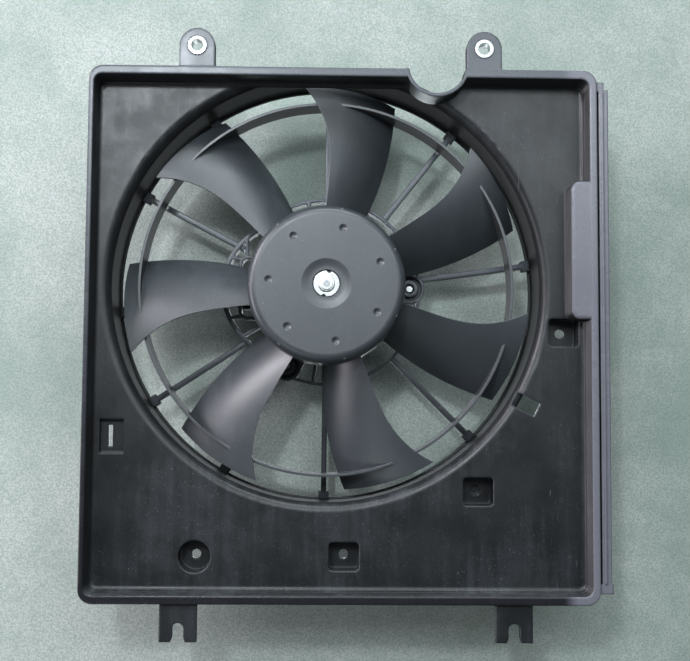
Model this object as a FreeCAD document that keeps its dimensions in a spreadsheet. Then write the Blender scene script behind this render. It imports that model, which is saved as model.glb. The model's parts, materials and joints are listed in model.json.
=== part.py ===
import FreeCAD, Part
import math
import os
import re

import Sketcher

# Radiator cooling fan: a moulded shroud whose spokes carry an electric motor, and a seven-blade fan
# on the motor's shaft. Sizes are millimetres. Every piece is drawn about the fan's axis, lying on its
# back as it is moulded, with its front towards +Z, and its Placement stands it up with the front to -Y.
# "Depth" is the distance behind the shroud's front rim. The origin is midway between the ears' holes.

SIZES = {
    # Place of the fan's axis, from the point midway between the two ears' holes
    "fan_x": -9.2,
    "fan_z": -170.9,
    # Shroud tray: its inner faces from the fan's axis, its floor and its walls
    "tray_left": 167.5,
    "tray_right": 188.5,
    "tray_top": 149.4,
    "tray_bottom": 219.1,
    "tray_depth": 19.0,
    "tray_corner": 6.0,
    "wall": 2.5,
    # Rim round the tray's mouth
    "rail_width": 6.4,
    "rail_left": 3.7,
    "rail_right": 5.5,
    "rail_thick": 2.5,
    "rail_corner": 10.0,
    "rail_round": 1.0,
    "floor_round": 3.5,
    # Seal strip beside the right rim
    "strip_gap": 1.3,
    "strip_width": 6.7,
    "strip_top": 142.0,
    "strip_bottom": 212.0,
    "strip_depth": 1.2,
    "strip_height": 8.0,
    "strip_ridge": 1.6,
    "strip_block": 5.5,
    "strip_block_top": 5.0,
    "strip_block_bottom": 9.0,
    # Barrel round the fan
    "barrel_front": 156.3,
    "barrel_rear": 157.5,
    "barrel_end": 68.0,
    "barrel_wall": 2.5,
    "lip_radius": 7.0,
    "lip_lap": 1.0,
    "crown_half": 60.0,
    "gusset_reach": 8.0,
    "gusset_thick": 2.0,
    "gusset_end": 56.0,
    # Motor stay: rings and spokes behind the fan
    "stay_radius": 69.5,
    "stay_wall": 2.4,
    "stay_inner": 50.0,
    "stay_depth": 62.0,
    "stay_height": 12.0,
    "stay_band": 4.0,
    "spoke_width": 4.0,
    "spoke_depth": 63.0,
    "spoke_height": 9.0,
    "lug_width": 8.0,
    "lug_length": 6.0,
    # Bulge of the stay's ring round the motor's connector, and the U-shaped wall inside it
    "bulge_x": -27.0,
    "bulge_z": 2.0,
    "bulge_radius": 53.5,
    "bulge_wall": 3.5,
    "bulge_start": 139.5,
    "bulge_end": 212.5,
    "bulge_first": 120.4,
    "bulge_last": 231.5,
    "pen_left": 66.8,
    "pen_right": 43.0,
    "pen_top": 27.3,
    "pen_bottom": 21.8,
    "pen_round": 7.0,
    "pen_web_x": -60.7,
    # Motor bosses on the stay
    "boss_circle": 63.8,
    "boss_radius": 11.5,
    "boss_core": 6.5,
    "boss_rim": 2.2,
    "boss_groove": 3.0,
    "boss_bore": 3.6,
    # Ears and forks that hold the shroud on the radiator
    "ear_spacing": 206.8,
    "ear_radius": 12.7,
    "ear_depth": 0.6,
    "ear_thick": 8.0,
    "collar_radius": 6.7,
    "collar_bore": 4.3,
    "collar_proud": 0.6,
    "fork_left": 101.7,
    "fork_right": 133.4,
    "fork_width": 26.2,
    "fork_end": 251.8,
    "fork_slot": 7.9,
    "fork_slot_top": 238.6,
    "fork_depth": 3.5,
    "fork_thick": 4.5,
    "fork_flare": 1.2,
    # Notch in the top rim
    "notch_x": 78.7,
    "notch_rise": 2.7,
    "notch_radius": 20.5,
    # Raised box beside the right rim
    "hump_inner": 174.5,
    "hump_top": 75.8,
    "hump_bottom": 24.6,
    "hump_round": 7.0,
    "hump_edge": 3.0,
    "hump_depth": 0.6,
    # Recesses in the tray floor
    "recess_depth": 16.0,
    "recess_hole": 3.4,
    "recess_corner": 3.0,
    "round_recess_x": -92.7,
    "round_recess_z": -194.8,
    "round_recess_radius": 11.6,
    "lower_recess_x": 13.9,
    "lower_recess_z": -194.4,
    "side_recess_x": 110.3,
    "side_recess_z": -147.8,
    "edge_recess_x": 172.8,
    "edge_recess_z": -32.7,
    "recess_width": 22.0,
    "recess_rise": 20.4,
    "window_x": -153.2,
    "window_z": -109.5,
    "window_width": 17.3,
    "window_rise": 24.2,
    "window_depth": 6.0,
    "window_slot": 3.0,
    "window_slot_rise": 15.4,
    "oblique_x": 145.0,
    "oblique_z": -84.8,
    "oblique_length": 18.4,
    "oblique_width": 10.5,
    "oblique_turn": -26.0,
    # Fan hub
    "hub_front": 3.0,
    "hub_rear": 56.0,
    "hub_radius": 57.0,
    "hub_round": 6.5,
    "hub_wall": 3.0,
    "hub_dish": 18.0,
    "hub_dish_drop": 1.0,
    "hub_mouth": 10.0,
    "hub_boss": 13.0,
    "hub_boss_end": 24.0,
    "hub_rib": 2.0,
    "hub_rib_height": 10.0,
    "dimple_circle": 41.5,
    "dimple_radius": 2.9,
    "dimple_drop": 1.3,
    "dimple_cone": 58.0,
    "dimple_turn": -4.7,
    # Fan blades
    "blade_count": 7,
    "fan_turn": 27.0,
    "tip_radius": 150.0,
    "lead_root": 12.5,
    "lead_slope": 9.0,
    "lead_sweep": 30.0,
    "trail_root": 16.5,
    "trail_bulge": 26.0,
    "trail_return": 20.0,
    "lead_root_depth": 24.0,
    "lead_tip_depth": 32.0,
    "trail_root_depth": 53.0,
    "trail_tip_depth": 56.0,
    "blade_root_thick": 3.4,
    "blade_tip_thick": 2.4,
    "camber": 0.085,
    # Hoop that joins the blades
    "hoop_inset": 13.2,
    "hoop_wall": 2.0,
    "hoop_front": 33.0,
    "hoop_rear": 56.0,
    # Metal insert of the hub and the nut on the shaft
    "insert_radius": 9.3,
    "insert_front": 4.5,
    "insert_flange": 3.0,
    "insert_sleeve": 7.5,
    "insert_notch": 1.6,
    "insert_turn": 78.0,
    "nut_radius": 6.1,
    "nut_neck": 4.4,
    "nut_height": 2.7,
    "nut_round": 0.8,
    # Shaft
    "shaft_radius": 4.0,
    "shaft_tip": 2.4,
    "shaft_front": 1.2,
    "shaft_shoulder": 9.0,
    "shaft_rear": 93.0,
    "shaft_chamfer": 1.0,
    # Motor casing
    "can_radius": 45.0,
    "can_wall": 2.0,
    "can_front": 33.0,
    "can_nose": 10.5,
    "can_nose_front": 26.0,
    "can_nose_round": 1.2,
    "can_round": 5.0,
    "cap_depth": 77.0,
    "cap_rear": 97.0,
    "cap_round": 4.0,
    "cap_skin": 1.0,
    "cap_step": 3.0,
    "cap_boss": 16.0,
    "ear_plate": 3.0,
    "running_gap": 0.05,
    "seat_gap": 0.3,
    "air_gap": 0.8,
    # Bushes
    "bush_radius": 8.0,
    "bush_length": 7.0,
    "bush_seat": 2.5,
    # Magnets and armature
    "magnet_thick": 6.5,
    "magnet_front": 41.0,
    "magnet_length": 30.0,
    "magnet_span": 66.0,
    "core_front": 43.0,
    "core_length": 26.0,
    "core_slots": 12,
    "slot_width": 3.0,
    "slot_depth": 13.0,
    "winding_overhang": 5.0,
    "winding_inset": 2.0,
    "winding_round": 1.5,
    "commutator_radius": 12.5,
    "commutator_length": 9.5,
    # Brush gear
    "plate_thick": 2.0,
    "brush_width": 7.0,
    "brush_height": 5.0,
    "brush_length": 12.0,
    "guide_wall": 1.0,
    "guide_start": 3.0,
    "guide_length": 8.0,
    "leaf_thick": 0.6,
    # Screws
    "screw_radius": 3.0,
    "screw_head": 5.6,
    "screw_head_height": 4.0,
    "screw_short": 1.5,
    "screw_overlap": 1.0,
    # Connector
    "plug_width": 24.0,
    "plug_height": 14.0,
    "plug_reach": 24.0,
    "plug_wall": 1.6,
    "plug_floor": 6.0,
    "plug_inset": 3.0,
    "plug_round": 2.0,
    "blade_terminal_width": 6.3,
    "blade_terminal_thick": 0.8,
}

SPOKE_ANGLES = (8.0, 52.0, 89.5, 123.6, 152.5, 186.3, 213.0, 240.8, 269.7, 315.0)
BOSS_ANGLES = (2.5, 122.5, 242.5)
RING_WEB_ANGLES = (41.0, 78.0, 101.7, 262.0, 290.0, 325.0)
GUSSET_ANGLES = (12.0, 36.0, 124.0, 152.0, 180.0, 200.0, 228.0, 258.0, 286.0, 316.0)
MAGNET_ANGLES = (45.0, 135.0, 225.0, 315.0)
BLADE_SHARES = (0.0, 0.25, 0.5, 0.75, 0.93, 1.1)
STAND_UP = FreeCAD.Rotation(FreeCAD.Vector(1, 0, 0), 90)
FLAT = 0.001

doc = FreeCAD.newDocument("radiator_fan")
sheet = doc.addObject("Spreadsheet::Sheet", "sizes")
for row, (alias, number) in enumerate(SIZES.items(), start=1):
    sheet.set("A%d" % row, alias.replace("_", " "))
    sheet.set("B%d" % row, str(number))
    sheet.setAlias("B%d" % row, alias)
doc.recompute()


def bound(text):
    """A formula of size names, as an expression that reads them from the sheet."""
    def from_sheet(word):
        name = word.group()
        return "sizes." + name if name in SIZES else name

    return re.sub(r"[a-z][a-z_]*", from_sheet, str(text))


def value(text):
    """The number that a formula of size names stands for."""
    return float(sheet.evalExpression(bound(text)))


def polar(radius, angle, dx="0", dy="0"):
    """Two formulas: the point at a radius and an angle, moved by dx outwards and dy sideways."""
    x = "(%s + %s) * cos(%s) - (%s) * sin(%s)" % (radius, dx, angle, dy, angle)
    y = "(%s + %s) * sin(%s) + (%s) * cos(%s)" % (radius, dx, angle, dy, angle)
    return x, y


class Body:
    """One sub-part: a PartDesign body that stands on the fan's axis, and its features."""

    def __init__(self, label, turn="0"):
        self.label = label
        self.body = doc.addObject("PartDesign::Body", label)
        self.body.Label = label
        spin = FreeCAD.Rotation(FreeCAD.Vector(0, 0, 1), value(turn))
        self.body.Placement = FreeCAD.Placement(FreeCAD.Vector(0, 0, 0), STAND_UP * spin)
        self.body.setExpression(".Placement.Base.x", bound("fan_x"))
        self.body.setExpression(".Placement.Base.z", bound("fan_z"))
        self.steps = 0

    def plane(self, role):
        return next(p for p in self.body.Origin.OriginFeatures if p.Role == role)

    def named(self, kind, word):
        self.steps += 1
        return self.body.newObject(kind, "%s_%s_%d" % (self.label, word, self.steps))

    def sketch(self, word, offset="0", role="XY_Plane"):
        """A sketch on an origin plane, moved along the plane's normal by a formula."""
        made = self.named("Sketcher::SketchObject", word)
        made.AttachmentSupport = (self.plane(role), [""])
        made.MapMode = "FlatFace"
        made.setExpression("AttachmentOffset.Base.z", bound(offset))
        return made

    def pad(self, profile, length, word, back=True):
        made = self.named("PartDesign::Pad", word)
        made.Profile = profile
        made.setExpression("Length", bound(length))
        made.Reversed = back
        self.body.Tip = made
        return made

    def pocket(self, profile, length, word, back=True):
        made = self.named("PartDesign::Pocket", word)
        made.Profile = profile
        made.setExpression("Length", bound(length))
        made.Reversed = not back
        self.body.Tip = made
        return made

    def revolve(self, profile, word, kind="PartDesign::Revolution"):
        made = self.named(kind, word)
        made.Profile = profile
        made.ReferenceAxis = (profile, ["V_Axis"])
        made.Angle = 360.0
        self.body.Tip = made
        return made

    def around(self, feature, count, word):
        """Repeat a feature evenly round the fan's axis."""
        made = self.named("PartDesign::PolarPattern", word)
        made.Originals = [feature]
        made.Axis = (self.plane("Z_Axis"), [""])
        made.Angle = 360.0
        made.setExpression("Occurrences", bound(count))
        self.body.Tip = made
        return made


    def fillet(self, chosen, radius, word):
        """Round the edges of the body so far that a test on an edge picks."""
        doc.recompute()
        base = self.body.Tip
        names = ["Edge%d" % n for n, edge in enumerate(base.Shape.Edges, start=1) if chosen(edge)]
        if not names:
            raise RuntimeError("no edge to round: " + word)
        made = self.named("PartDesign::Fillet", word)
        made.Base = (base, names)
        made.setExpression("Radius", bound(radius))
        self.body.Tip = made
        return made


def at_depth(edge, depth):
    """Whether an edge lies flat at a depth behind the front rim, given as a formula."""
    bounds = edge.BoundBox
    return max(abs(bounds.ZMin + value(depth)), abs(bounds.ZMax + value(depth))) < FLAT


def hold(geo, point, x, y):
    """The constraints that hold a point of a sketch at two formulas, each with its formula."""
    return [(Sketcher.Constraint("DistanceX", -1, 1, geo, point, value(x)), x),
            (Sketcher.Constraint("DistanceY", -1, 1, geo, point, value(y)), y)]


def hold_radius(geo, radius):
    return [(Sketcher.Constraint("Radius", geo, value(radius)), radius)]


def pin(made, wanted):
    """Add constraints to a sketch in one go, each driven by its formula where it has one."""
    first = made.ConstraintCount
    made.addConstraint([constraint for constraint, _ in wanted])
    for index, (_, formula) in enumerate(wanted, start=first):
        if formula is not None:
            made.setExpression("Constraints[%d]" % index, bound(formula))


def circle(made, x, y, radius):
    centre = FreeCAD.Vector(value(x), value(y), 0)
    geo = made.addGeometry(Part.Circle(centre, FreeCAD.Vector(0, 0, 1), value(radius)), False)
    pin(made, hold(geo, 3, x, y) + hold_radius(geo, radius))


def arc_between(start, end, radius, left):
    """An arc from start to end, less than a half circle, with its centre to the left or right."""
    chord = end - start
    side = FreeCAD.Vector(-chord.y, chord.x, 0).normalize()
    rise = math.sqrt(max(radius * radius - chord.Length ** 2 / 4, 0))
    centre = (start + end) * 0.5 + side * (rise if left else -rise)
    first, last = (start, end) if left else (end, start)
    angles = [math.atan2(p.y - centre.y, p.x - centre.x) for p in (first, last)]
    return Part.ArcOfCircle(Part.Circle(centre, FreeCAD.Vector(0, 0, 1), radius), *angles)


def outline(made, corners):
    """Draw a closed outline and hold it with formulas.

    Each corner is (x, y), or (x, y, "round", r) where the corner is rounded, or (x, y, "left", r) or
    (x, y, "right", r) where an arc runs from it to the next corner with its centre on that side.
    """
    count = len(corners)
    points = [FreeCAD.Vector(value(c[0]), value(c[1]), 0) for c in corners]
    mode = [c[2] if len(c) > 2 else "" for c in corners]
    leave = list(points)
    reach = list(points)
    for i in range(count):
        if mode[i] == "round":
            before = (points[i] - points[i - 1]).normalize()
            after = (points[(i + 1) % count] - points[i]).normalize()
            half = before.getAngle(after) / 2
            back_off = value(corners[i][3]) * math.tan(half)
            reach[i] = points[i] - before * back_off
            leave[i] = points[i] + after * back_off
    sides = []
    wanted = []
    for i in range(count):
        j = (i + 1) % count
        if mode[i] in ("left", "right"):
            is_left = mode[i] == "left"
            geo = made.addGeometry(arc_between(leave[i], reach[j], value(corners[i][3]), is_left), False)
            wanted += hold_radius(geo, corners[i][3])
            sides.append((geo, 1 if is_left else 2, 2 if is_left else 1))
        else:
            geo = made.addGeometry(Part.LineSegment(leave[i], reach[j]), False)
            sides.append((geo, 1, 2))
    for i in range(count):
        geo_in, _, end_in = sides[i - 1]
        geo_out, start_out, _ = sides[i]
        if mode[i] != "round":
            wanted.append((Sketcher.Constraint("Coincident", geo_in, end_in, geo_out, start_out), None))
            wanted += hold(geo_out, start_out, corners[i][0], corners[i][1])
            continue
        turn_left = (points[i] - points[i - 1]).cross(points[(i + 1) % count] - points[i]).z > 0
        bend = made.addGeometry(arc_between(reach[i], leave[i], value(corners[i][3]), turn_left), False)
        first, last = (1, 2) if turn_left else (2, 1)
        mark = made.addGeometry(Part.Point(points[i]), True)
        wanted += [(Sketcher.Constraint("Tangent", geo_in, end_in, bend, first), None),
                   (Sketcher.Constraint("Tangent", bend, last, geo_out, start_out), None),
                   (Sketcher.Constraint("PointOnObject", mark, 1, geo_in), None),
                   (Sketcher.Constraint("PointOnObject", mark, 1, geo_out), None)]
        wanted += hold(mark, 1, corners[i][0], corners[i][1]) + hold_radius(bend, corners[i][3])
    pin(made, wanted)


def box(made, left, right, bottom, top, radius=None):
    """A rectangle between four formulas, with rounded corners if a radius is given."""
    corners = [(left, bottom), (right, bottom), (right, top), (left, top)]
    if radius is not None:
        corners = [c + ("round", radius) for c in corners]
    outline(made, corners)


def bar(made, angle, start, end, width):
    """A rectangle that runs outwards at an angle, from one radius to another."""
    half = "(%s) / 2" % width
    outline(made, [polar(start, angle, "0", "-" + half), polar(end, angle, "0", "-" + half),
                   polar(end, angle, "0", half), polar(start, angle, "0", half)])


def sector(made, inner, outer, first, last, x="0", z="0"):
    """A band between two radii round a centre, from one angle to another, less than half a turn."""
    def at(radius, angle):
        across, up = polar(radius, angle)
        return "%s + %s" % (x, across), "%s + %s" % (z, up)

    outline(made, [at(inner, first), at(outer, first) + ("left", outer),
                   at(outer, last), at(inner, last) + ("right", inner)])


def strut(made, start, end, width):
    """A rectangle of a width that runs from one point to another, each given as two formulas."""
    run = "(%s - (%s))" % (end[0], start[0])
    rise = "(%s - (%s))" % (end[1], start[1])
    length = "sqrt(%s ^ 2 + %s ^ 2)" % (run, rise)
    corners = []
    for point, side in ((start, 1), (start, -1), (end, -1), (end, 1)):
        corners.append(("%s - %d * %s * %s / %s / 2" % (point[0], side, width, rise, length),
                        "%s + %d * %s * %s / %s / 2" % (point[1], side, width, run, length)))
    outline(made, corners)


def turned(part, corners, word="section", kind="PartDesign::Revolution"):
    """Revolve an outline of (radius, depth) corners round the fan's axis."""
    made = part.sketch(word, "0", "XZ_Plane")
    outline(made, [(c[0], "-(%s)" % c[1]) + tuple(c[2:]) for c in corners])
    return part.revolve(made, word + "_turned", kind)


def recess(part, word, x, z, corner, through=True, width="recess_width", rise="recess_rise",
           depth="recess_depth"):
    """A moulded recess in the tray floor: a cup behind it, its hollow and its screw hole."""
    sides = ["%s - %s / 2" % (x, width), "%s + %s / 2" % (x, width),
             "%s - %s / 2" % (z, rise), "%s + %s / 2" % (z, rise)]
    cup = part.sketch(word + "_cup", "-tray_depth")
    box(cup, sides[0] + " - wall", sides[1] + " + wall", sides[2] + " - wall", sides[3] + " + wall",
        corner + " + wall")
    part.pad(cup, depth + " + wall", word + "_wall")
    hollow = part.sketch(word + "_hollow", "-tray_depth")
    box(hollow, *sides, corner)
    part.pocket(hollow, depth, word + "_space")
    hole = part.sketch(word + "_hole", "-tray_depth - %s" % depth)
    circle(hole, x, z, "recess_hole")
    part.pocket(hole, "2 * wall" if through else "wall / 2", word + "_drilled")


def round_recess(part):
    """The round recess near the tray's lower left corner, made like the square ones."""
    for word, grow, length, add in (("cup", " + wall", "recess_depth + wall", True),
                                    ("hollow", "", "recess_depth", False)):
        made = part.sketch("round_" + word, "-tray_depth")
        circle(made, "round_recess_x", "round_recess_z", "round_recess_radius" + grow)
        if add:
            part.pad(made, length, "round_" + word + "_wall")
        else:
            part.pocket(made, length, "round_" + word + "_space")
    hole = part.sketch("round_hole", "-tray_depth - recess_depth")
    circle(hole, "round_recess_x", "round_recess_z", "recess_hole")
    part.pocket(hole, "2 * wall", "round_drilled")


def ear(part, side):
    """One of the two upper ears, with the hole for its collar; side is -1 or 1."""
    x = "(%d * ear_spacing / 2 - fan_x)" % side
    z = "(-fan_z)"
    made = part.sketch("ear", "-ear_depth")
    outline(made, [(x + " - ear_radius", "tray_top + wall / 2"),
                   (x + " - ear_radius", z, "right", "ear_radius"),
                   (x, z + " + ear_radius", "right", "ear_radius"),
                   (x + " + ear_radius", z),
                   (x + " + ear_radius", "tray_top + wall / 2")])
    part.pad(made, "ear_thick", "ear_plate")
    hole = part.sketch("ear_hole", "-ear_depth")
    circle(hole, x, z, "collar_radius")
    part.pocket(hole, "ear_thick", "ear_bore")


def fork(label, x):
    """A lower fork, open downwards, whose slot drops over a pin of the radiator."""
    part = Body(label)
    edge = "fork_width / 2"
    slot = "fork_slot / 2"
    arch = "-fork_slot_top - fork_slot / 2"
    made = part.sketch("fork", "-fork_depth")
    outline(made, [("%s - %s" % (x, edge), "-tray_bottom - wall"),
                   ("%s - %s" % (x, edge), "-fork_end"),
                   ("%s - %s - fork_flare" % (x, slot), "-fork_end"),
                   ("%s - %s" % (x, slot), "-fork_end + 3 * fork_flare"),
                   ("%s - %s" % (x, slot), arch, "right", "fork_slot / 2"),
                   (x, "-fork_slot_top", "right", "fork_slot / 2"),
                   ("%s + %s" % (x, slot), arch),
                   ("%s + %s" % (x, slot), "-fork_end + 3 * fork_flare"),
                   ("%s + %s + fork_flare" % (x, slot), "-fork_end"),
                   ("%s + %s" % (x, edge), "-fork_end"),
                   ("%s + %s" % (x, edge), "-tray_bottom - wall")])
    part.pad(made, "fork_thick", "fork_plate")
    return part


def shroud():
    """The moulding's front: tray, rim, barrel, ears, notch, raised box and all its recesses."""
    part = Body("shroud")
    tray = part.sketch("tray")
    box(tray, "-tray_left - wall", "tray_right + wall", "-tray_bottom - wall", "tray_top + wall",
        "tray_corner + wall")
    part.pad(tray, "tray_depth + wall", "tray_block")
    rim = part.sketch("rim")
    box(rim, "-tray_left - rail_left", "tray_right + rail_right", "-tray_bottom - rail_width",
        "tray_top + rail_width", "rail_corner")
    part.pad(rim, "rail_thick", "rim_flange")
    hollow = part.sketch("hollow")
    box(hollow, "-tray_left", "tray_right", "-tray_bottom", "tray_top", "tray_corner")
    part.pocket(hollow, "tray_depth", "tray_space")
    part.fillet(lambda edge: at_depth(edge, "tray_depth"), "floor_round", "floor_edges")
    part.fillet(lambda edge: at_depth(edge, "0"), "rail_round", "rim_edges")

    # Barrel, with the bell mouth that leads into it
    mouth = part.sketch("mouth", "-tray_depth")
    circle(mouth, "0", "0", "barrel_front + lip_radius + lip_lap / 2")
    part.pocket(mouth, "wall", "mouth_cut")
    turned(part, [("barrel_front", "tray_depth", "round", "lip_radius"),
                  ("barrel_rear", "barrel_end"),
                  ("barrel_rear + barrel_wall", "barrel_end"),
                  ("barrel_front + barrel_wall", "tray_depth + wall", "round", "lip_radius - wall"),
                  ("barrel_front + lip_radius + lip_lap", "tray_depth + wall"),
                  ("barrel_front + lip_radius + lip_lap", "tray_depth")], "barrel")
    gussets = part.sketch("gussets", "-tray_depth - wall + seat_gap")
    for angle in GUSSET_ANGLES:
        bar(gussets, angle, "barrel_rear + barrel_wall / 2", "barrel_rear + barrel_wall + gusset_reach",
            "gusset_thick")
    part.pad(gussets, "gusset_end - tray_depth - wall + seat_gap", "gusset_plates")
    outside = "barrel_rear + barrel_wall + 2 * gusset_reach"
    turned(part, [("barrel_rear + barrel_wall", "gusset_end"), (outside, "gusset_end"),
                  (outside, "tray_depth + wall"),
                  ("barrel_rear + barrel_wall + gusset_reach", "tray_depth + wall")],
           "gusset_slope", "PartDesign::Groove")
    crown = part.sketch("crown", "-rail_thick")
    box(crown, "-crown_half", "crown_half", "barrel_front + barrel_wall", "barrel_front + 3 * lip_radius")
    part.pocket(crown, "tray_depth + 2 * lip_radius", "crown_trim")

    # Notch in the top rim, with its own wall
    notch_z = "(tray_top + rail_width + notch_rise)"
    shell = part.sketch("notch_shell")
    circle(shell, "notch_x", notch_z, "notch_radius + wall")
    part.pad(shell, "tray_depth + wall", "notch_wall")
    above = part.sketch("notch_above")
    box(above, "notch_x - 2 * notch_radius", "notch_x + 2 * notch_radius", "tray_top + rail_width",
        "tray_top + rail_width + 2 * notch_radius")
    part.pocket(above, "tray_depth + 2 * wall", "notch_trim")
    cut = part.sketch("notch_cut")
    circle(cut, "notch_x", notch_z, "notch_radius")
    part.pocket(cut, "tray_depth + wall", "notch_open")

    # Seal strip beside the right rim, joined to the wall behind the groove
    edge = "(tray_right + rail_right + strip_gap)"
    strip = part.sketch("strip", "-strip_depth")
    box(strip, edge, edge + " + strip_width", "-strip_bottom", "strip_top")
    part.pad(strip, "strip_height", "strip_bar")
    ridge = part.sketch("ridge", "-strip_depth")
    box(ridge, edge + " + strip_ridge", edge + " + 2 * strip_ridge", "-strip_bottom + strip_ridge",
        "strip_top - strip_ridge")
    part.pad(ridge, "strip_ridge / 2", "strip_ridge", back=False)
    web = part.sketch("strip_web", "-strip_depth - strip_height + wall")
    box(web, "tray_right + wall / 2", edge + " + strip_ridge", "-strip_bottom", "strip_top")
    part.pad(web, "wall", "strip_root")
    ends = part.sketch("strip_ends", "-strip_depth")
    start = "tray_right + rail_right - rail_round"
    box(ends, start, edge + " + strip_block_top - strip_gap", "strip_top - wall / 2",
        "strip_top + strip_block")
    box(ends, start, edge + " + strip_block_bottom - strip_gap", "-strip_bottom - strip_block",
        "-strip_bottom + wall / 2")
    part.pad(ends, "strip_height / 2", "strip_blocks")

    # Raised box beside the right rim
    hump = part.sketch("hump", "-hump_depth")
    outline(hump, [("hump_inner", "-hump_bottom", "round", "hump_round"),
                   ("tray_right + wall / 2", "-hump_bottom"), ("tray_right + wall / 2", "hump_top"),
                   ("hump_inner", "hump_top", "round", "hump_round")])
    part.pad(hump, "tray_depth + wall - hump_depth", "hump_box")
    part.fillet(lambda edge: at_depth(edge, "hump_depth") and edge.BoundBox.XMin < value("tray_right"),
                "hump_edge", "hump_edges")

    round_recess(part)
    recess(part, "lower", "lower_recess_x", "lower_recess_z", "recess_corner")
    recess(part, "side", "side_recess_x", "side_recess_z", "recess_corner", through=False)
    recess(part, "edge", "edge_recess_x", "edge_recess_z", "recess_corner")

    # Window on the left, with its latch slot
    window = part.sketch("window_cup", "-tray_depth")
    box(window, "window_x - window_width / 2 - wall", "window_x + window_width / 2 + wall",
        "window_z - window_rise / 2 - wall", "window_z + window_rise / 2 + wall")
    part.pad(window, "window_depth + wall", "window_wall")
    hollow = part.sketch("window_hollow", "-tray_depth")
    box(hollow, "window_x - window_width / 2", "window_x + window_width / 2",
        "window_z - window_rise / 2", "window_z + window_rise / 2")
    part.pocket(hollow, "window_depth", "window_space")
    slot = part.sketch("window_slot", "-tray_depth - window_depth")
    box(slot, "window_x - window_slot", "window_x", "window_z - window_slot_rise / 2",
        "window_z + window_slot_rise / 2")
    part.pocket(slot, "2 * wall", "window_slot_cut")

    # Oblique slot near the barrel's lower right
    oblique = part.sketch("oblique", "-tray_depth")
    corners = []
    for along, across in ((-1, -1), (1, -1), (1, 1), (-1, 1)):
        u = "%d * oblique_length / 2" % along
        v = "%d * oblique_width / 2" % across
        corners.append(("oblique_x + %s * cos(oblique_turn) - %s * sin(oblique_turn)" % (u, v),
                        "oblique_z + %s * sin(oblique_turn) + %s * cos(oblique_turn)" % (u, v)))
    outline(oblique, corners)
    part.pocket(oblique, "wall", "oblique_cut")

    ear(part, -1)
    ear(part, 1)
    return part


def motor_stay():
    """The moulding's rear: a band behind the barrel, ten spokes, and the rings that hold the motor."""
    part = Body("motor_stay")
    band = part.sketch("band", "-barrel_end")
    circle(band, "0", "0", "barrel_rear + barrel_wall")
    circle(band, "0", "0", "barrel_rear - barrel_wall / 2")
    part.pad(band, "stay_band", "rear_band")
    ring = part.sketch("ring", "-stay_depth")
    circle(ring, "0", "0", "stay_radius + stay_wall")
    circle(ring, "0", "0", "stay_radius")
    part.pad(ring, "stay_height", "stay_ring")
    gap = part.sketch("ring_gap", "-stay_depth")
    sector(gap, "stay_radius - stay_wall", "stay_radius + 2 * stay_wall", "bulge_start", "bulge_end")
    part.pocket(gap, "stay_height", "ring_opened")
    for word, angles, inner, outer, width in (
            ("spoke", SPOKE_ANGLES, "stay_radius + stay_wall / 2", "barrel_rear - seat_gap", "spoke_width"),
            ("lug", SPOKE_ANGLES, "barrel_rear - lug_length", "barrel_rear - seat_gap", "lug_width")):
        bars = part.sketch(word, "-spoke_depth")
        for angle in angles:
            bar(bars, angle, inner, outer, width)
        part.pad(bars, "spoke_height", word + "_bars")
    bulge(part)
    inner = part.sketch("inner_ring", "-stay_depth")
    circle(inner, "0", "0", "stay_inner + stay_wall")
    circle(inner, "0", "0", "stay_inner")
    part.pad(inner, "stay_height", "inner_ring_wall")
    webs = part.sketch("webs", "-stay_depth")
    for angle in RING_WEB_ANGLES:
        bar(webs, angle, "stay_inner + stay_wall / 2", "stay_radius + stay_wall / 2", "stay_wall")
    part.pad(webs, "stay_height", "ring_webs")
    bosses = part.sketch("bosses", "-stay_depth")
    for angle in BOSS_ANGLES:
        circle(bosses, *polar("boss_circle", angle), "boss_radius")
    part.pad(bosses, "stay_height", "boss_bodies")
    groove = part.sketch("boss_grooves", "-stay_depth")
    for angle in BOSS_ANGLES:
        circle(groove, *polar("boss_circle", angle), "boss_radius - boss_rim")
        circle(groove, *polar("boss_circle", angle), "boss_core")
    part.pocket(groove, "boss_groove", "boss_grooves_cut")
    for word, radius, length in (("mouths", "boss_bore", "screw_short"),
                                 ("bores", "screw_radius + running_gap", "stay_height")):
        bores = part.sketch(word, "-stay_depth")
        for angle in BOSS_ANGLES:
            circle(bores, *polar("boss_circle", angle), radius)
        part.pocket(bores, length, "boss_" + word)
    return part


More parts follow.
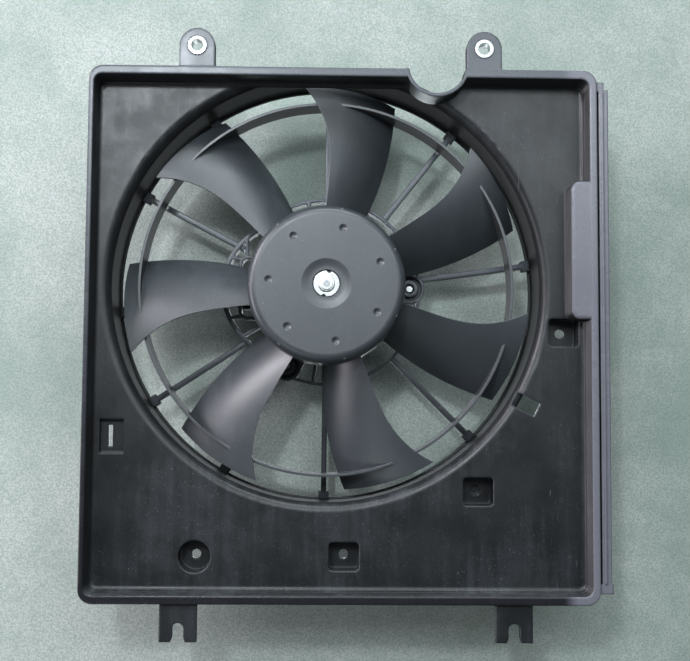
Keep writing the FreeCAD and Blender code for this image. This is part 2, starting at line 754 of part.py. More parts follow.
def bulge(part):
    """The stay's bulge on the left: its round wall, a U-shaped wall inside it, and the webs between."""
    wall = part.sketch("bulge", "-stay_depth")
    sector(wall, "bulge_radius - bulge_wall", "bulge_radius", "bulge_first", "bulge_last", "bulge_x", "bulge_z")
    part.pad(wall, "stay_height", "bulge_wall")
    pen = part.sketch("pen", "-stay_depth")
    outline(pen, [("-pen_right", "pen_top"), ("-pen_left", "pen_top", "round", "pen_round"),
                  ("-pen_left", "-pen_bottom", "round", "pen_round"), ("-pen_right", "-pen_bottom"),
                  ("-pen_right", "stay_wall - pen_bottom"),
                  ("stay_wall - pen_left", "stay_wall - pen_bottom", "round", "pen_round - stay_wall"),
                  ("stay_wall - pen_left", "pen_top - stay_wall", "round", "pen_round - stay_wall"),
                  ("-pen_right", "pen_top - stay_wall")])
    part.pad(pen, "stay_height", "pen_wall")
    middle = "bulge_radius - bulge_wall / 2"
    across = "(bulge_x - sqrt((%s) ^ 2 - (%s) ^ 2))"
    up = "(bulge_z + sqrt((%s) ^ 2 - (pen_web_x - bulge_x) ^ 2))" % middle
    high = "(pen_top - stay_wall / 2)"
    low = "(stay_wall / 2 - pen_bottom)"
    side = "(pen_round / 4 - pen_left + stay_wall / 2)"
    struts = (("top", ("pen_web_x", high), ("pen_web_x", up)),
              ("high", (side, high + " - pen_round / 4"), (across % (middle, high + " - bulge_z"), high)),
              ("low", (side, low + " + pen_round / 4"), (across % (middle, low + " - bulge_z"), low)),
              ("corner", polar("stay_inner + stay_wall / 2", "bulge_end - 5"),
               polar("stay_radius + stay_wall / 2", "bulge_end - 4")))
    for word, start, end in struts:
        made = part.sketch("strut_" + word, "-stay_depth")
        strut(made, start, end, "stay_wall")
        part.pad(made, "stay_height", "strut_" + word + "_web")


def ear_collar(label, side):
    """Steel collar pressed into an ear, so that its screw can be tightened."""
    part = Body(label)
    x = "(%d * ear_spacing / 2 - fan_x)" % side
    made = part.sketch("ring", "-ear_depth + collar_proud")
    circle(made, x, "-fan_z", "collar_radius")
    circle(made, x, "-fan_z", "collar_bore")
    part.pad(made, "ear_thick + 2 * collar_proud", "tube")
    return part


def blade_section(part, share):
    """Blade section at a share of the way from the hub to beyond the tip, square to the blade's radius.

    The leading edge is the upper one, nearer the front. The two faces are arcs that share the camber.
    """
    x = "(%g)" % share
    lead = "(lead_root + lead_slope * %s + lead_sweep * %s ^ 4)" % (x, x)
    trail = "(-trail_root - trail_bulge * %s + trail_return * %s ^ 2)" % (x, x)
    lead_z = "(-lead_root_depth - (lead_tip_depth - lead_root_depth) * %s)" % x
    trail_z = "(-trail_root_depth - (trail_tip_depth - trail_root_depth) * %s)" % x
    half = "((blade_root_thick + (blade_tip_thick - blade_root_thick) * %s) / 2)" % x
    chord = "sqrt((%s - %s) ^ 2 + (%s - %s) ^ 2)" % (lead, trail, lead_z, trail_z)
    radius = "(%s * (1 / (8 * camber) + camber / 2))" % chord
    start = "hub_radius - hub_wall + seat_gap"
    place = "%s + (tip_radius - hub_radius) * %s" % (start, x)
    made = part.sketch("blade", place, "YZ_Plane")
    outline(made, [(trail, trail_z + " + " + half, "right", radius), (lead, lead_z + " + " + half),
                   (lead, lead_z + " - " + half, "left", radius), (trail, trail_z + " - " + half)])
    return made


def impeller():
    """The fan: hub, seven twisted blades and the hoop that joins them, in one moulding."""
    part = Body("impeller", "fan_turn")
    turned(part, [("hub_mouth", "hub_front + hub_dish_drop"),
                  ("hub_boss", "hub_front + hub_dish_drop", "round", "hub_dish"),
                  ("hub_dish", "hub_front"),
                  ("hub_radius", "hub_front", "round", "hub_round"),
                  ("hub_radius", "hub_rear"),
                  ("hub_radius - hub_wall", "hub_rear"),
                  ("hub_radius - hub_wall", "hub_front + hub_wall", "round", "hub_round - hub_wall"),
                  ("hub_boss", "hub_front + hub_wall"),
                  ("hub_boss", "hub_boss_end"),
                  ("insert_sleeve", "hub_boss_end"),
                  ("insert_sleeve", "insert_front + insert_flange"),
                  ("hub_mouth", "insert_front + insert_flange")], "hub")
    ribs = part.sketch("ribs", "-hub_front - hub_wall / 2")
    for index in range(int(value("blade_count"))):
        bar(ribs, "(%d * 360 / blade_count)" % index, "hub_boss - hub_rib / 2", "hub_radius - hub_wall / 2",
            "hub_rib")
    part.pad(ribs, "hub_rib_height", "hub_ribs")
    sections = [blade_section(part, share) for share in BLADE_SHARES]
    blade = part.named("PartDesign::AdditiveLoft", "blade_loft")
    blade.Profile = sections[0]
    blade.Sections = sections[1:]
    blade.Ruled = False
    part.body.Tip = blade
    part.around(blade, "blade_count", "blades")
    inside = "tip_radius - hoop_inset"
    turned(part, [(inside, "hoop_front"), (inside + " + hoop_wall", "hoop_front"),
                  (inside + " + hoop_wall", "hoop_rear"), (inside, "hoop_rear")], "hoop")
    outside = "tip_radius + 2 * hoop_inset"
    turned(part, [("tip_radius", "hub_front"), (outside, "hub_front"),
                  (outside, "hub_rear + hub_wall"), ("tip_radius", "hub_rear + hub_wall")],
           "tips", "PartDesign::Groove")
    dimple = part.sketch("dimple", "-hub_front")
    circle(dimple, *polar("dimple_circle", "dimple_turn"), "dimple_radius")
    pressed = part.pocket(dimple, "dimple_drop", "dimple_cut")
    pressed.setExpression("TaperAngle", "-sizes.dimple_cone")
    part.around(pressed, "blade_count", "dimples")
    return part


def hub_insert():
    """Steel insert moulded into the hub, with the two notches that the fixing tool holds."""
    part = Body("hub_insert", "insert_turn")
    turned(part, [("shaft_tip + running_gap", "insert_front"), ("insert_radius", "insert_front"),
                  ("insert_radius", "insert_front + insert_flange"),
                  ("insert_sleeve", "insert_front + insert_flange"),
                  ("insert_sleeve", "hub_boss_end"), ("shaft_radius", "hub_boss_end"),
                  ("shaft_radius", "shaft_shoulder"), ("shaft_tip + running_gap", "shaft_shoulder")],
           "insert")
    notches = part.sketch("notches", "-insert_front")
    for angle in (0, 180):
        circle(notches, *polar("insert_radius", angle), "insert_notch")
    part.pocket(notches, "insert_flange", "notch_cuts")
    return part


def hub_nut():
    """Round nut on the shaft's threaded end."""
    part = Body("hub_nut")
    turned(part, [("shaft_tip", "insert_front - nut_height"), ("nut_neck", "insert_front - nut_height"),
                  ("nut_neck", "insert_front - nut_height / 2"),
                  ("nut_radius", "insert_front - nut_height / 2", "round", "nut_round"),
                  ("nut_radius", "insert_front"), ("shaft_tip", "insert_front")], "nut")
    return part


def shaft():
    """Motor shaft, with the thinner front end that takes the nut."""
    part = Body("motor_shaft")
    turned(part, [("0", "shaft_front"), ("shaft_tip", "shaft_front"), ("shaft_tip", "shaft_shoulder"),
                  ("shaft_radius", "shaft_shoulder"), ("shaft_radius", "shaft_rear - shaft_chamfer"),
                  ("shaft_radius - shaft_chamfer", "shaft_rear"), ("0", "shaft_rear")], "shaft")
    return part


def motor_housing():
    """Deep-drawn steel can, closed at the front round its bush, with three ears that carry the motor."""
    part = Body("motor_housing")
    turned(part, [("bush_radius", "can_nose_front"),
                  ("can_nose", "can_nose_front", "round", "can_nose_round"),
                  ("can_nose", "can_front"), ("can_radius", "can_front", "round", "can_round"),
                  ("can_radius", "cap_depth"), ("can_radius - can_wall", "cap_depth"),
                  ("can_radius - can_wall", "can_front + can_wall", "round", "can_round - can_wall"),
                  ("bush_radius", "can_front + can_wall")], "can")
    ears = part.sketch("ears", "-stay_depth - stay_height")
    for angle in BOSS_ANGLES:
        tip = "boss_radius - can_wall / 2"
        outline(ears, [polar("can_radius", angle, "-can_wall / 2", "-" + tip),
                       polar("boss_circle", angle, "0", "-(%s)" % tip) + ("left", tip),
                       polar("boss_circle", angle, tip, "0") + ("left", tip),
                       polar("boss_circle", angle, "0", tip),
                       polar("can_radius", angle, "-can_wall / 2", tip)])
    part.pad(ears, "ear_plate", "ear_plates")
    inside = part.sketch("inside", "-stay_depth - stay_height")
    circle(inside, "0", "0", "can_radius - can_wall")
    part.pocket(inside, "ear_plate", "inside_clear")
    holes = part.sketch("ear_holes", "-stay_depth - stay_height")
    for angle in BOSS_ANGLES:
        circle(holes, *polar("boss_circle", angle), "screw_radius + seat_gap")
    part.pocket(holes, "ear_plate", "ear_bores")
    return part


def end_cap():
    """Rear end cap of the motor, with its bush seat."""
    part = Body("motor_end_cap")
    seat = "(cap_rear - cap_skin - bush_length)"
    turned(part, [("bush_radius", seat), ("bush_radius + bush_seat", seat),
                  ("bush_radius + bush_seat", "cap_rear - cap_step - can_wall"),
                  ("can_radius - can_wall", "cap_rear - cap_step - can_wall"),
                  ("can_radius - can_wall", "cap_depth"), ("can_radius", "cap_depth"),
                  ("can_radius", "cap_rear - cap_step", "round", "cap_round"),
                  ("cap_boss", "cap_rear - cap_step"), ("cap_boss - cap_skin", "cap_rear"), ("0", "cap_rear"),
                  ("0", "cap_rear - cap_skin"), ("bush_radius", "cap_rear - cap_skin")], "cap")
    return part


def bush(label, front):
    """Sintered bush that the shaft turns in."""
    part = Body(label)
    rear = front + " + bush_length"
    turned(part, [("shaft_radius + running_gap", front), ("bush_radius", front),
                  ("bush_radius", rear), ("shaft_radius + running_gap", rear)], "bush")
    return part


def magnets():
    """Four field magnets glued inside the can, as separate tiles."""
    part = Body("motor_magnets")
    made = part.sketch("tiles", "-magnet_front")
    for middle in MAGNET_ANGLES:
        sector(made, "can_radius - can_wall - magnet_thick", "can_radius - can_wall",
               "(%g - magnet_span / 2)" % middle, "(%g + magnet_span / 2)" % middle)
    part.pad(made, "magnet_length", "tile_bodies")
    return part


def armature_core():
    """Laminated armature core, with its winding slots."""
    part = Body("armature_core")
    made = part.sketch("stack", "-core_front")
    circle(made, "0", "0", "can_radius - can_wall - magnet_thick - air_gap")
    circle(made, "0", "0", "shaft_radius")
    part.pad(made, "core_length", "stack_body")
    slot = part.sketch("slot", "-core_front")
    rim = "(can_radius - can_wall - magnet_thick - air_gap)"
    box(slot, rim + " - slot_depth", rim + " + air_gap", "-slot_width / 2", "slot_width / 2")
    cut = part.pocket(slot, "core_length", "slot_cut")
    part.around(cut, "core_slots", "slots")
    return part


def armature_windings():
    """Copper end turns on both sides of the core, joined by the coils in its slots."""
    part = Body("armature_windings")
    rim = "(can_radius - can_wall - magnet_thick - air_gap - winding_inset)"
    root = "(%s + winding_inset - slot_depth)" % rim
    for word, front in (("front", "core_front - winding_overhang"), ("rear", "core_front + core_length")):
        turned(part, [(root, front, "round", "winding_round"), (rim, front, "round", "winding_round"),
                      (rim, front + " + winding_overhang"), (root, front + " + winding_overhang")], word)
        if word == "front":
            slot = part.sketch("coil", "-core_front")
            for index in range(int(value("core_slots"))):
                bar(slot, "(%d * 360 / core_slots)" % index, root, rim, "slot_width")
            part.pad(slot, "core_length", "coils")
    return part


def commutator():
    """Commutator ring behind the armature."""
    part = Body("commutator")
    made = part.sketch("ring", "-cap_depth - plate_thick")
    circle(made, "0", "0", "commutator_radius")
    circle(made, "0", "0", "shaft_radius")
    part.pad(made, "commutator_length", "commutator_body")
    return part


def brush_plate():
    """Brush holder plate across the motor's rear, with the two guides of the brushes."""
    part = Body("brush_plate")
    made = part.sketch("disc", "-cap_depth")
    circle(made, "0", "0", "can_radius - can_wall")
    circle(made, "0", "0", "commutator_radius + plate_thick")
    part.pad(made, "plate_thick", "plate")
    guides = part.sketch("guides", "-cap_depth - plate_thick")
    for side in (-1, 1):
        for edge in (-1, 1):
            y0 = "%d * (brush_width / 2 + running_gap)" % edge
            y1 = "%d * (brush_width / 2 + running_gap + guide_wall)" % edge
            box(guides, "%d * (commutator_radius + guide_start)" % side,
                "%d * (commutator_radius + guide_start + guide_length)" % side, y0, y1)
    part.pad(guides, "brush_height", "guide_walls")
    return part


def brushes():
    """Two carbon brushes that ride on the commutator."""
    part = Body("brushes")
    made = part.sketch("blocks", "-cap_depth - plate_thick")
    for side in (-1, 1):
        near = "%d * (commutator_radius + seat_gap)" % side
        far = "%d * (commutator_radius + seat_gap + brush_length)" % side
        box(made, near, far, "-brush_width / 2", "brush_width / 2")
    part.pad(made, "brush_height", "block_bodies")
    return part


def brush_springs():
    """Leaf springs that press the brushes inwards."""
    part = Body("brush_springs")
    made = part.sketch("leaves", "-cap_depth - plate_thick")
    for side in (-1, 1):
        near = "%d * (commutator_radius + seat_gap + brush_length)" % side
        far = "%d * (commutator_radius + seat_gap + brush_length + leaf_thick)" % side
        box(made, near, far, "-brush_width", "brush_width")
    part.pad(made, "brush_height", "leaf_bodies")
    return part


def motor_screws():
    """Three screws that hold the motor to the stay, driven from behind."""
    part = Body("motor_screws")
    seat = "stay_depth + stay_height + ear_plate"
    heads = part.sketch("heads", "-(%s)" % seat)
    for angle in BOSS_ANGLES:
        circle(heads, *polar("boss_circle", angle), "screw_head")
    part.pad(heads, "screw_head_height", "head_bodies")
    shanks = part.sketch("shanks", "-stay_depth - screw_short")
    for angle in BOSS_ANGLES:
        circle(shanks, *polar("boss_circle", angle), "screw_radius")
    part.pad(shanks, "stay_height + ear_plate - screw_short + screw_overlap", "shank_bodies")
    return part


def connector():
    """Plug-in socket on the end cap, open to the left."""
    part = Body("connector_housing")
    made = part.sketch("shell", "-cap_depth - plug_inset")
    far = "-(can_radius + plug_reach)"
    box(made, far, "-(can_radius + seat_gap)", "-plug_width / 2", "plug_width / 2", "plug_round")
    part.pad(made, "plug_height", "shell_body")
    hollow = part.sketch("mouth", far, "YZ_Plane")
    box(hollow, "-plug_width / 2 + plug_wall", "plug_width / 2 - plug_wall",
        "-cap_depth - plug_inset - plug_height + plug_wall", "-cap_depth - plug_inset - plug_wall")
    part.pocket(hollow, "plug_reach - plug_floor", "mouth_cut", back=False)
    return part


def terminals():
    """Two blade terminals inside the socket."""
    part = Body("connector_terminals")
    made = part.sketch("blades", "-cap_depth - plug_inset - plug_height / 2")
    for side in (-1, 1):
        box(made, "-(can_radius + plug_reach - plug_floor)", "-(can_radius + plug_floor)",
            "%d * plug_width / 4 - blade_terminal_width / 2" % side,
            "%d * plug_width / 4 + blade_terminal_width / 2" % side)
    part.pad(made, "blade_terminal_thick", "blade_bodies")
    return part


def main():
    """Make every sub-part, check it and write it to a file of its own."""
    shroud()
    ear_collar("ear_collar_left", -1)
    ear_collar("ear_collar_right", 1)
    fork("fork_left", "-fork_left")
    fork("fork_right", "fork_right")
    motor_stay()
    impeller()
    hub_insert()
    hub_nut()
    shaft()
    motor_housing()
    end_cap()
    bush("front_bush", "can_nose_front")
    bush("rear_bush", "cap_rear - cap_skin - bush_length")
    magnets()
    armature_core()
    armature_windings()
    commutator()
    brush_plate()
    brushes()
    brush_springs()
    motor_screws()
    connector()
    terminals()
    doc.recompute()
    bad = [o.Name for o in doc.Objects if "Invalid" in o.State or "Error" in o.State]
    if bad:
        raise RuntimeError("failed: " + ", ".join(bad))
    os.makedirs("parts", exist_ok=True)
    for body in doc.Objects:
        if body.TypeId == "PartDesign::Body":
            shape = body.Shape
            if shape.isNull() or not shape.isValid():
                raise RuntimeError("bad shape: " + body.Label)
            shape.exportStep("parts/%s.step" % body.Label)
            print(body.Label, len(shape.Solids), round(shape.Volume))


main()
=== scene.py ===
import json
import logging
import math
from dataclasses import dataclass
from enum import Enum
from typing import Any

import bmesh
import bpy
import numpy as np
from mathutils import Matrix, Vector

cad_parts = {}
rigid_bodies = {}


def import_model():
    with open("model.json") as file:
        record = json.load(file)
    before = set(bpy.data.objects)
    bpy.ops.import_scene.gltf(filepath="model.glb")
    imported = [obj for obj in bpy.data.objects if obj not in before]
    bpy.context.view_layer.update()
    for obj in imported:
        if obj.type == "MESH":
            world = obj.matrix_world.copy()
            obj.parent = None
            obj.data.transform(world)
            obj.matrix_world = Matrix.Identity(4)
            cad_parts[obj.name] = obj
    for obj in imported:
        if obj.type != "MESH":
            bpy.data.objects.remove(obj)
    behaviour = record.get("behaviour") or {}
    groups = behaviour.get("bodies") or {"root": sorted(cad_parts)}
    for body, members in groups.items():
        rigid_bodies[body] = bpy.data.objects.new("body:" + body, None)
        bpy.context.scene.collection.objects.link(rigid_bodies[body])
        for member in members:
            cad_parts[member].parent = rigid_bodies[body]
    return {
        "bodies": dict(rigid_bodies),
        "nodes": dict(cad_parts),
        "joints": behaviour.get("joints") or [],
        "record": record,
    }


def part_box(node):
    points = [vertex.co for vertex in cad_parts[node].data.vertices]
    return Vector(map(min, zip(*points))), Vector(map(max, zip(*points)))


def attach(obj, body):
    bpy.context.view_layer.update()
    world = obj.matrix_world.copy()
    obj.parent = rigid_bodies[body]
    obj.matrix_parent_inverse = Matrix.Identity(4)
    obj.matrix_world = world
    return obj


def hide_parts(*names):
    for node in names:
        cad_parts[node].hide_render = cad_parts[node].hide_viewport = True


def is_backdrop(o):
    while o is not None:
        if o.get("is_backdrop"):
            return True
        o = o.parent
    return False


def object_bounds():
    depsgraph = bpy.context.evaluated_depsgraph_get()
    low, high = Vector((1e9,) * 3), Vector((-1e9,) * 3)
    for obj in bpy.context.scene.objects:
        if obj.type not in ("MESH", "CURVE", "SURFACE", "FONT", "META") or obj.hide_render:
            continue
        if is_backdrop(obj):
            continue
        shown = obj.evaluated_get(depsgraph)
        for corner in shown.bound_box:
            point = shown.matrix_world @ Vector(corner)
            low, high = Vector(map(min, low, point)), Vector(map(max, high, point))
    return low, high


# Looks of a radiator cooling fan: a moulded shroud with its spokes and motor, and a seven-blade fan.
# The imported solids carry the shapes. This script gives each of them its finish, which holds painted light
# on some forward faces and edges and painted shade on the walls round the fan's axis, puts detailed motor
# screws in the place of the plain ones, and sets up the floor, the lamps and the camera. Lengths are
# metres, +Z is up, and the front of the fan looks towards -Y.

log = logging.getLogger("radiator_fan")
FAN_AXIS = (-0.0092, 0.0, -0.1709)
Rgb = tuple[int, int, int]


class Slot(Enum):
    """The record's material slots."""

    SHROUD_PLASTIC = "shroud_plastic"
    FAN_PLASTIC = "fan_plastic"
    CONNECTOR_PLASTIC = "connector_plastic"
    BRUSH_BOARD = "brush_board"
    MAGNET = "magnet"
    CARBON = "carbon"
    COLLAR_STEEL = "collar_steel"
    BRIGHT_STEEL = "bright_steel"
    CASING_STEEL = "casing_steel"
    SHAFT_STEEL = "shaft_steel"
    CORE_STEEL = "core_steel"
    COPPER = "copper"
    BRONZE = "bronze"
    SPRING_STEEL = "spring_steel"


def tone(red: int, green: int, blue: int) -> tuple[float, float, float, float]:
    """Turn a display colour into a linear one.

    Args:
        red: red part, 0 to 255.
        green: green part, 0 to 255.
        blue: blue part, 0 to 255.

    Returns:
        Linear red, green, blue and an alpha of 1.
    """
    parts = np.array([red, green, blue]) / 255.0
    linear = np.where(parts <= 0.04045, parts / 12.92, ((parts + 0.055) / 1.055) ** 2.4)
    return (*linear.tolist(), 1.0)


def wire(tree: bpy.types.NodeTree, node: bpy.types.Node, feeds: dict[Any, Any]) -> None:
    """Set or link a node's inputs.

    Args:
        tree: the tree that the node is in.
        node: the node.
        feeds: a number, colour or socket for each input, by the input's name or place.
    """
    for name, feed in feeds.items():
        if isinstance(feed, bpy.types.NodeSocket):
            tree.links.new(feed, node.inputs[name])
        else:
            node.inputs[name].default_value = feed


class Graph:
    """Node tree under construction, with short calls for the nodes that the finishes use."""

    def __init__(self, tree: bpy.types.NodeTree) -> None:
        """Keep the tree that the nodes go into."""
        self.tree = tree

    def add(self, kind: str, feeds: dict[Any, Any] | None = None, **settings: Any) -> bpy.types.Node:
        """Add a node.

        Args:
            kind: the node's type name.
            feeds: a number, colour or socket for each input, by the input's name or place.
            settings: the node's own properties.

        Returns:
            The new node.
        """
        node = self.tree.nodes.new(kind)
        for name, setting in settings.items():
            setattr(node, name, setting)
        wire(self.tree, node, feeds or {})
        return node

    def math(self, operation: str, first: Any, second: Any = 0.0) -> bpy.types.NodeSocket:
        """Work out one step of arithmetic on two numbers or sockets."""
        return self.add("ShaderNodeMath", {0: first, 1: second}, operation=operation).outputs[0]

    def times(self, first: Any, *more: Any) -> bpy.types.NodeSocket:
        """Multiply numbers or sockets, from the first to the last.

        Args:
            first: the first factor.
            more: the other factors.

        Returns:
            The product.
        """
        product = first
        for factor in more:
            product = self.math("MULTIPLY", product, factor)
        return product

    def vector(self, operation: str, first: Any, second: Any = None) -> bpy.types.Node:
        """Work out one step of arithmetic on one or two vectors."""
        feeds = {0: first} if second is None else {0: first, 1: second}
        return self.add("ShaderNodeVectorMath", feeds, operation=operation)

    def part(self, vector: Any, axis: str) -> bpy.types.NodeSocket:
        """Take the X, Y or Z part of a vector."""
        return self.add("ShaderNodeSeparateXYZ", {0: vector}).outputs[axis]

    def normal(self) -> bpy.types.NodeSocket:
        """Give the surface's own normal."""
        return self.add("ShaderNodeNewGeometry").outputs["Normal"]

    def span(self, value: Any, low: Any, high: Any, to_low: Any = 0.0,
             to_high: Any = 1.0) -> bpy.types.NodeSocket:
        """Carry a value smoothly from one range to another, held at both ends."""
        feeds = {"Value": value, "From Min": low, "From Max": high, "To Min": to_low, "To Max": to_high}
        return self.add("ShaderNodeMapRange", feeds, interpolation_type="SMOOTHSTEP").outputs[0]

    def blend(self, share: Any, first: Any, second: Any) -> bpy.types.NodeSocket:
        """Mix two colours by a share from 0 to 1."""
        return self.add("ShaderNodeMix", {0: share, 6: first, 7: second}, data_type="RGBA").outputs[2]

    def noise(self, place: Any, scale: Any, detail: float = 4.0, rough: float = 0.55) -> bpy.types.NodeSocket:
        """Cloudy values round 0.5 at a scale in features per metre."""
        feeds = {"Vector": place, "Scale": scale, "Detail": detail, "Roughness": rough}
        return self.add("ShaderNodeTexNoise", feeds).outputs["Fac"]

    def outward(self, place: Any, middle: Any) -> bpy.types.NodeSocket:
        """Give the way from the fan's axis to a place, square to the axis."""
        away = self.vector("SUBTRACT", place, middle).outputs[0]
        return self.vector("MULTIPLY", away, (1.0, 0.0, 1.0)).outputs[0]


class EffectGroup:
    """Shared effect: a shader node group that every material places with its own values."""

    def __init__(self, name: str, inputs: dict[str, Any], outputs: dict[str, str]) -> None:
        """Make the group's interface.

        Args:
            name: the group's name.
            inputs: the default of each input; None stands for a vector.
            outputs: the socket type of each output.
        """
        self.tree = bpy.data.node_groups.new(name, "ShaderNodeTree")
        for label, default in inputs.items():
            kind = "NodeSocketVector" if default is None else "NodeSocketFloat"
            socket = self.tree.interface.new_socket(label, in_out="INPUT", socket_type=kind)
            if default is not None:
                socket.default_value = default
        for label, kind in outputs.items():
            self.tree.interface.new_socket(label, in_out="OUTPUT", socket_type=kind)
        self.graph = Graph(self.tree)
        self.inputs = self.graph.add("NodeGroupInput").outputs
        self.outlet = self.graph.add("NodeGroupOutput")

    def give(self, label: str, socket: bpy.types.NodeSocket) -> None:
        """Send a socket out of the group."""
        self.tree.links.new(socket, self.outlet.inputs[label])

    def place(self, graph: Graph, feeds: dict[str, Any]) -> bpy.types.bpy_prop_collection:
        """Put the group into a material.

        Args:
            graph: the material's graph.
            feeds: a value or a socket for each input.

        Returns:
            The outputs of the group's node.
        """
        return graph.add("ShaderNodeGroup", feeds, node_tree=self.tree).outputs


@dataclass(frozen=True)
class SkinGrain:
    """Fine moulded or cast skin: two sizes of noise as a height, and a slow drift in gloss."""

    fine_detail: float = 3.0
    fine_rough: float = 0.6
    coarse_scale: float = 0.22
    coarse_detail: float = 2.0
    coarse_share: float = 1.6
    drift_scale: float = 38.0
    drift_detail: float = 5.0
    drift_rough: float = 0.62

    def build(self) -> EffectGroup:
        """Build the group: the height is the fine noise plus a share of the coarse noise.

        Returns:
            The group.
        """
        group = EffectGroup("skin_grain", {"Place": None, "Scale": 900.0},
                            {"Height": "NodeSocketFloat", "Drift": "NodeSocketFloat"})
        graph, place, scale = group.graph, group.inputs["Place"], group.inputs["Scale"]
        fine = graph.noise(place, scale, self.fine_detail, self.fine_rough)
        coarse = graph.noise(place, graph.times(scale, self.coarse_scale), self.coarse_detail)
        group.give("Height", graph.math("ADD", fine, graph.times(coarse, self.coarse_share)))
        group.give("Drift", graph.noise(place, self.drift_scale, self.drift_detail, self.drift_rough))
        return group


@dataclass(frozen=True)
class DustyBloom:
    """Dusty bloom: fine streaky clouds, stronger on faces that look up, with rare pale specks."""

    cloud_detail: float = 8.0
    cloud_rough: float = 0.72
    cloud_share: float = 0.6
    streak_turn: float = 0.35
    streak_scale: tuple[float, float, float] = (150.0, 60.0, 14.0)
    streak_detail: float = 6.0
    streak_rough: float = 0.7
    streak_share: float = 0.4
    cloud_span: tuple[float, float] = (0.44, 0.7)
    upward_span: tuple[float, float] = (-0.2, 0.9)
    upward_share: tuple[float, float] = (0.55, 1.6)
    speck_scale: float = 1500.0
    speck_detail: float = 1.0
    speck_rough: float = 0.4
    speck_span: tuple[float, float] = (0.735, 0.8)
    rare_span: tuple[float, float] = (0.35, 0.75)
    rare_share: tuple[float, float] = (0.15, 0.7)

    def build(self) -> EffectGroup:
        """Build the group: clouds plus streaks, times a share that grows as the face turns up.

        Returns:
            The group.
        """
        group = EffectGroup("dusty_bloom", {"Place": None, "Amount": 0.5, "Clouds": 9.0},
                            {"Mask": "NodeSocketFloat", "Specks": "NodeSocketFloat"})
        graph, place = group.graph, group.inputs["Place"]
        wide = graph.noise(place, group.inputs["Clouds"], self.cloud_detail, self.cloud_rough)
        drawn = graph.add("ShaderNodeMapping", {"Vector": place, "Rotation": (0.0, self.streak_turn, 0.0),
                                                "Scale": self.streak_scale}).outputs[0]
        streaks = graph.noise(drawn, 1.0, self.streak_detail, self.streak_rough)
        cloud = graph.math("ADD", graph.times(wide, self.cloud_share),
                           graph.times(streaks, self.streak_share))
        upward = graph.span(graph.part(graph.normal(), "Z"), *self.upward_span, *self.upward_share)
        group.give("Mask", graph.times(graph.span(cloud, *self.cloud_span), upward, group.inputs["Amount"]))
        dots = graph.noise(place, self.speck_scale, self.speck_detail, self.speck_rough)
        rare = graph.span(wide, *self.rare_span, *self.rare_share)
        group.give("Specks", graph.times(graph.span(dots, *self.speck_span), rare))
        return group


@dataclass(frozen=True)
class Scuffs:
    """Short handling scratches: bent, stretched noise kept only at its crests and in a few patches."""

    strokes: tuple[tuple[tuple[float, float, float], tuple[float, float, float]], ...] = (
        ((0.0, 0.5, 0.0), (700.0, 60.0, 40.0)), ((0.0, -0.3, 0.2), (560.0, 60.0, 26.0)))
    detail: float = 3.0
    bend: float = 0.6
    crest_span: tuple[float, float] = (0.68, 0.78)
    patch_scale: float = 22.0
    patch_detail: float = 4.0
    patch_rough: float = 0.6
    patch_span: tuple[float, float] = (0.52, 0.66)

    def build(self) -> EffectGroup:
        """Build the group: the larger of the strokes' crests, times the patches and the amount.

        Returns:
            The group.
        """
        group = EffectGroup("scuffs", {"Place": None, "Amount": 0.4}, {"Mask": "NodeSocketFloat"})
        graph, place = group.graph, group.inputs["Place"]
        crests = []
        for turn, scale in self.strokes:
            turned = graph.add("ShaderNodeMapping", {"Vector": place, "Rotation": turn, "Scale": scale})
            lines = graph.add("ShaderNodeTexNoise", {"Vector": turned.outputs[0], "Scale": 1.0,
                                                     "Detail": self.detail, "Distortion": self.bend})
            lines = lines.outputs["Fac"]
            crests.append(graph.span(lines, *self.crest_span))
        patches = graph.span(graph.noise(place, self.patch_scale, self.patch_detail, self.patch_rough),
                             *self.patch_span)
        group.give("Mask", graph.times(graph.math("MAXIMUM", *crests), patches, group.inputs["Amount"]))
        return group


@dataclass(frozen=True)
class ProudFaces:
    """Mask of the forward faces that lie within a reach of a depth, polished by handling and given painted
    light.
    """

    fade: float = 0.0005
    facing_span: tuple[float, float] = (-0.3, -0.9)

    def build(self) -> EffectGroup:
        """Build the group: near the depth, times facing forward.

        Returns:
            The group.
        """
        group = EffectGroup("proud_faces", {"Place": None, "Depth": 0.0, "Reach": 0.0035},
                            {"Mask": "NodeSocketFloat"})
        graph = group.graph
        offset = graph.math("SUBTRACT", graph.part(group.inputs["Place"], "Y"), group.inputs["Depth"])
        spare = graph.math("SUBTRACT", group.inputs["Reach"], graph.math("ABSOLUTE", offset))
        facing = graph.span(graph.part(graph.normal(), "Y"), *self.facing_span)
        group.give("Mask", graph.times(graph.span(spare, 0.0, self.fade), facing))
        return group


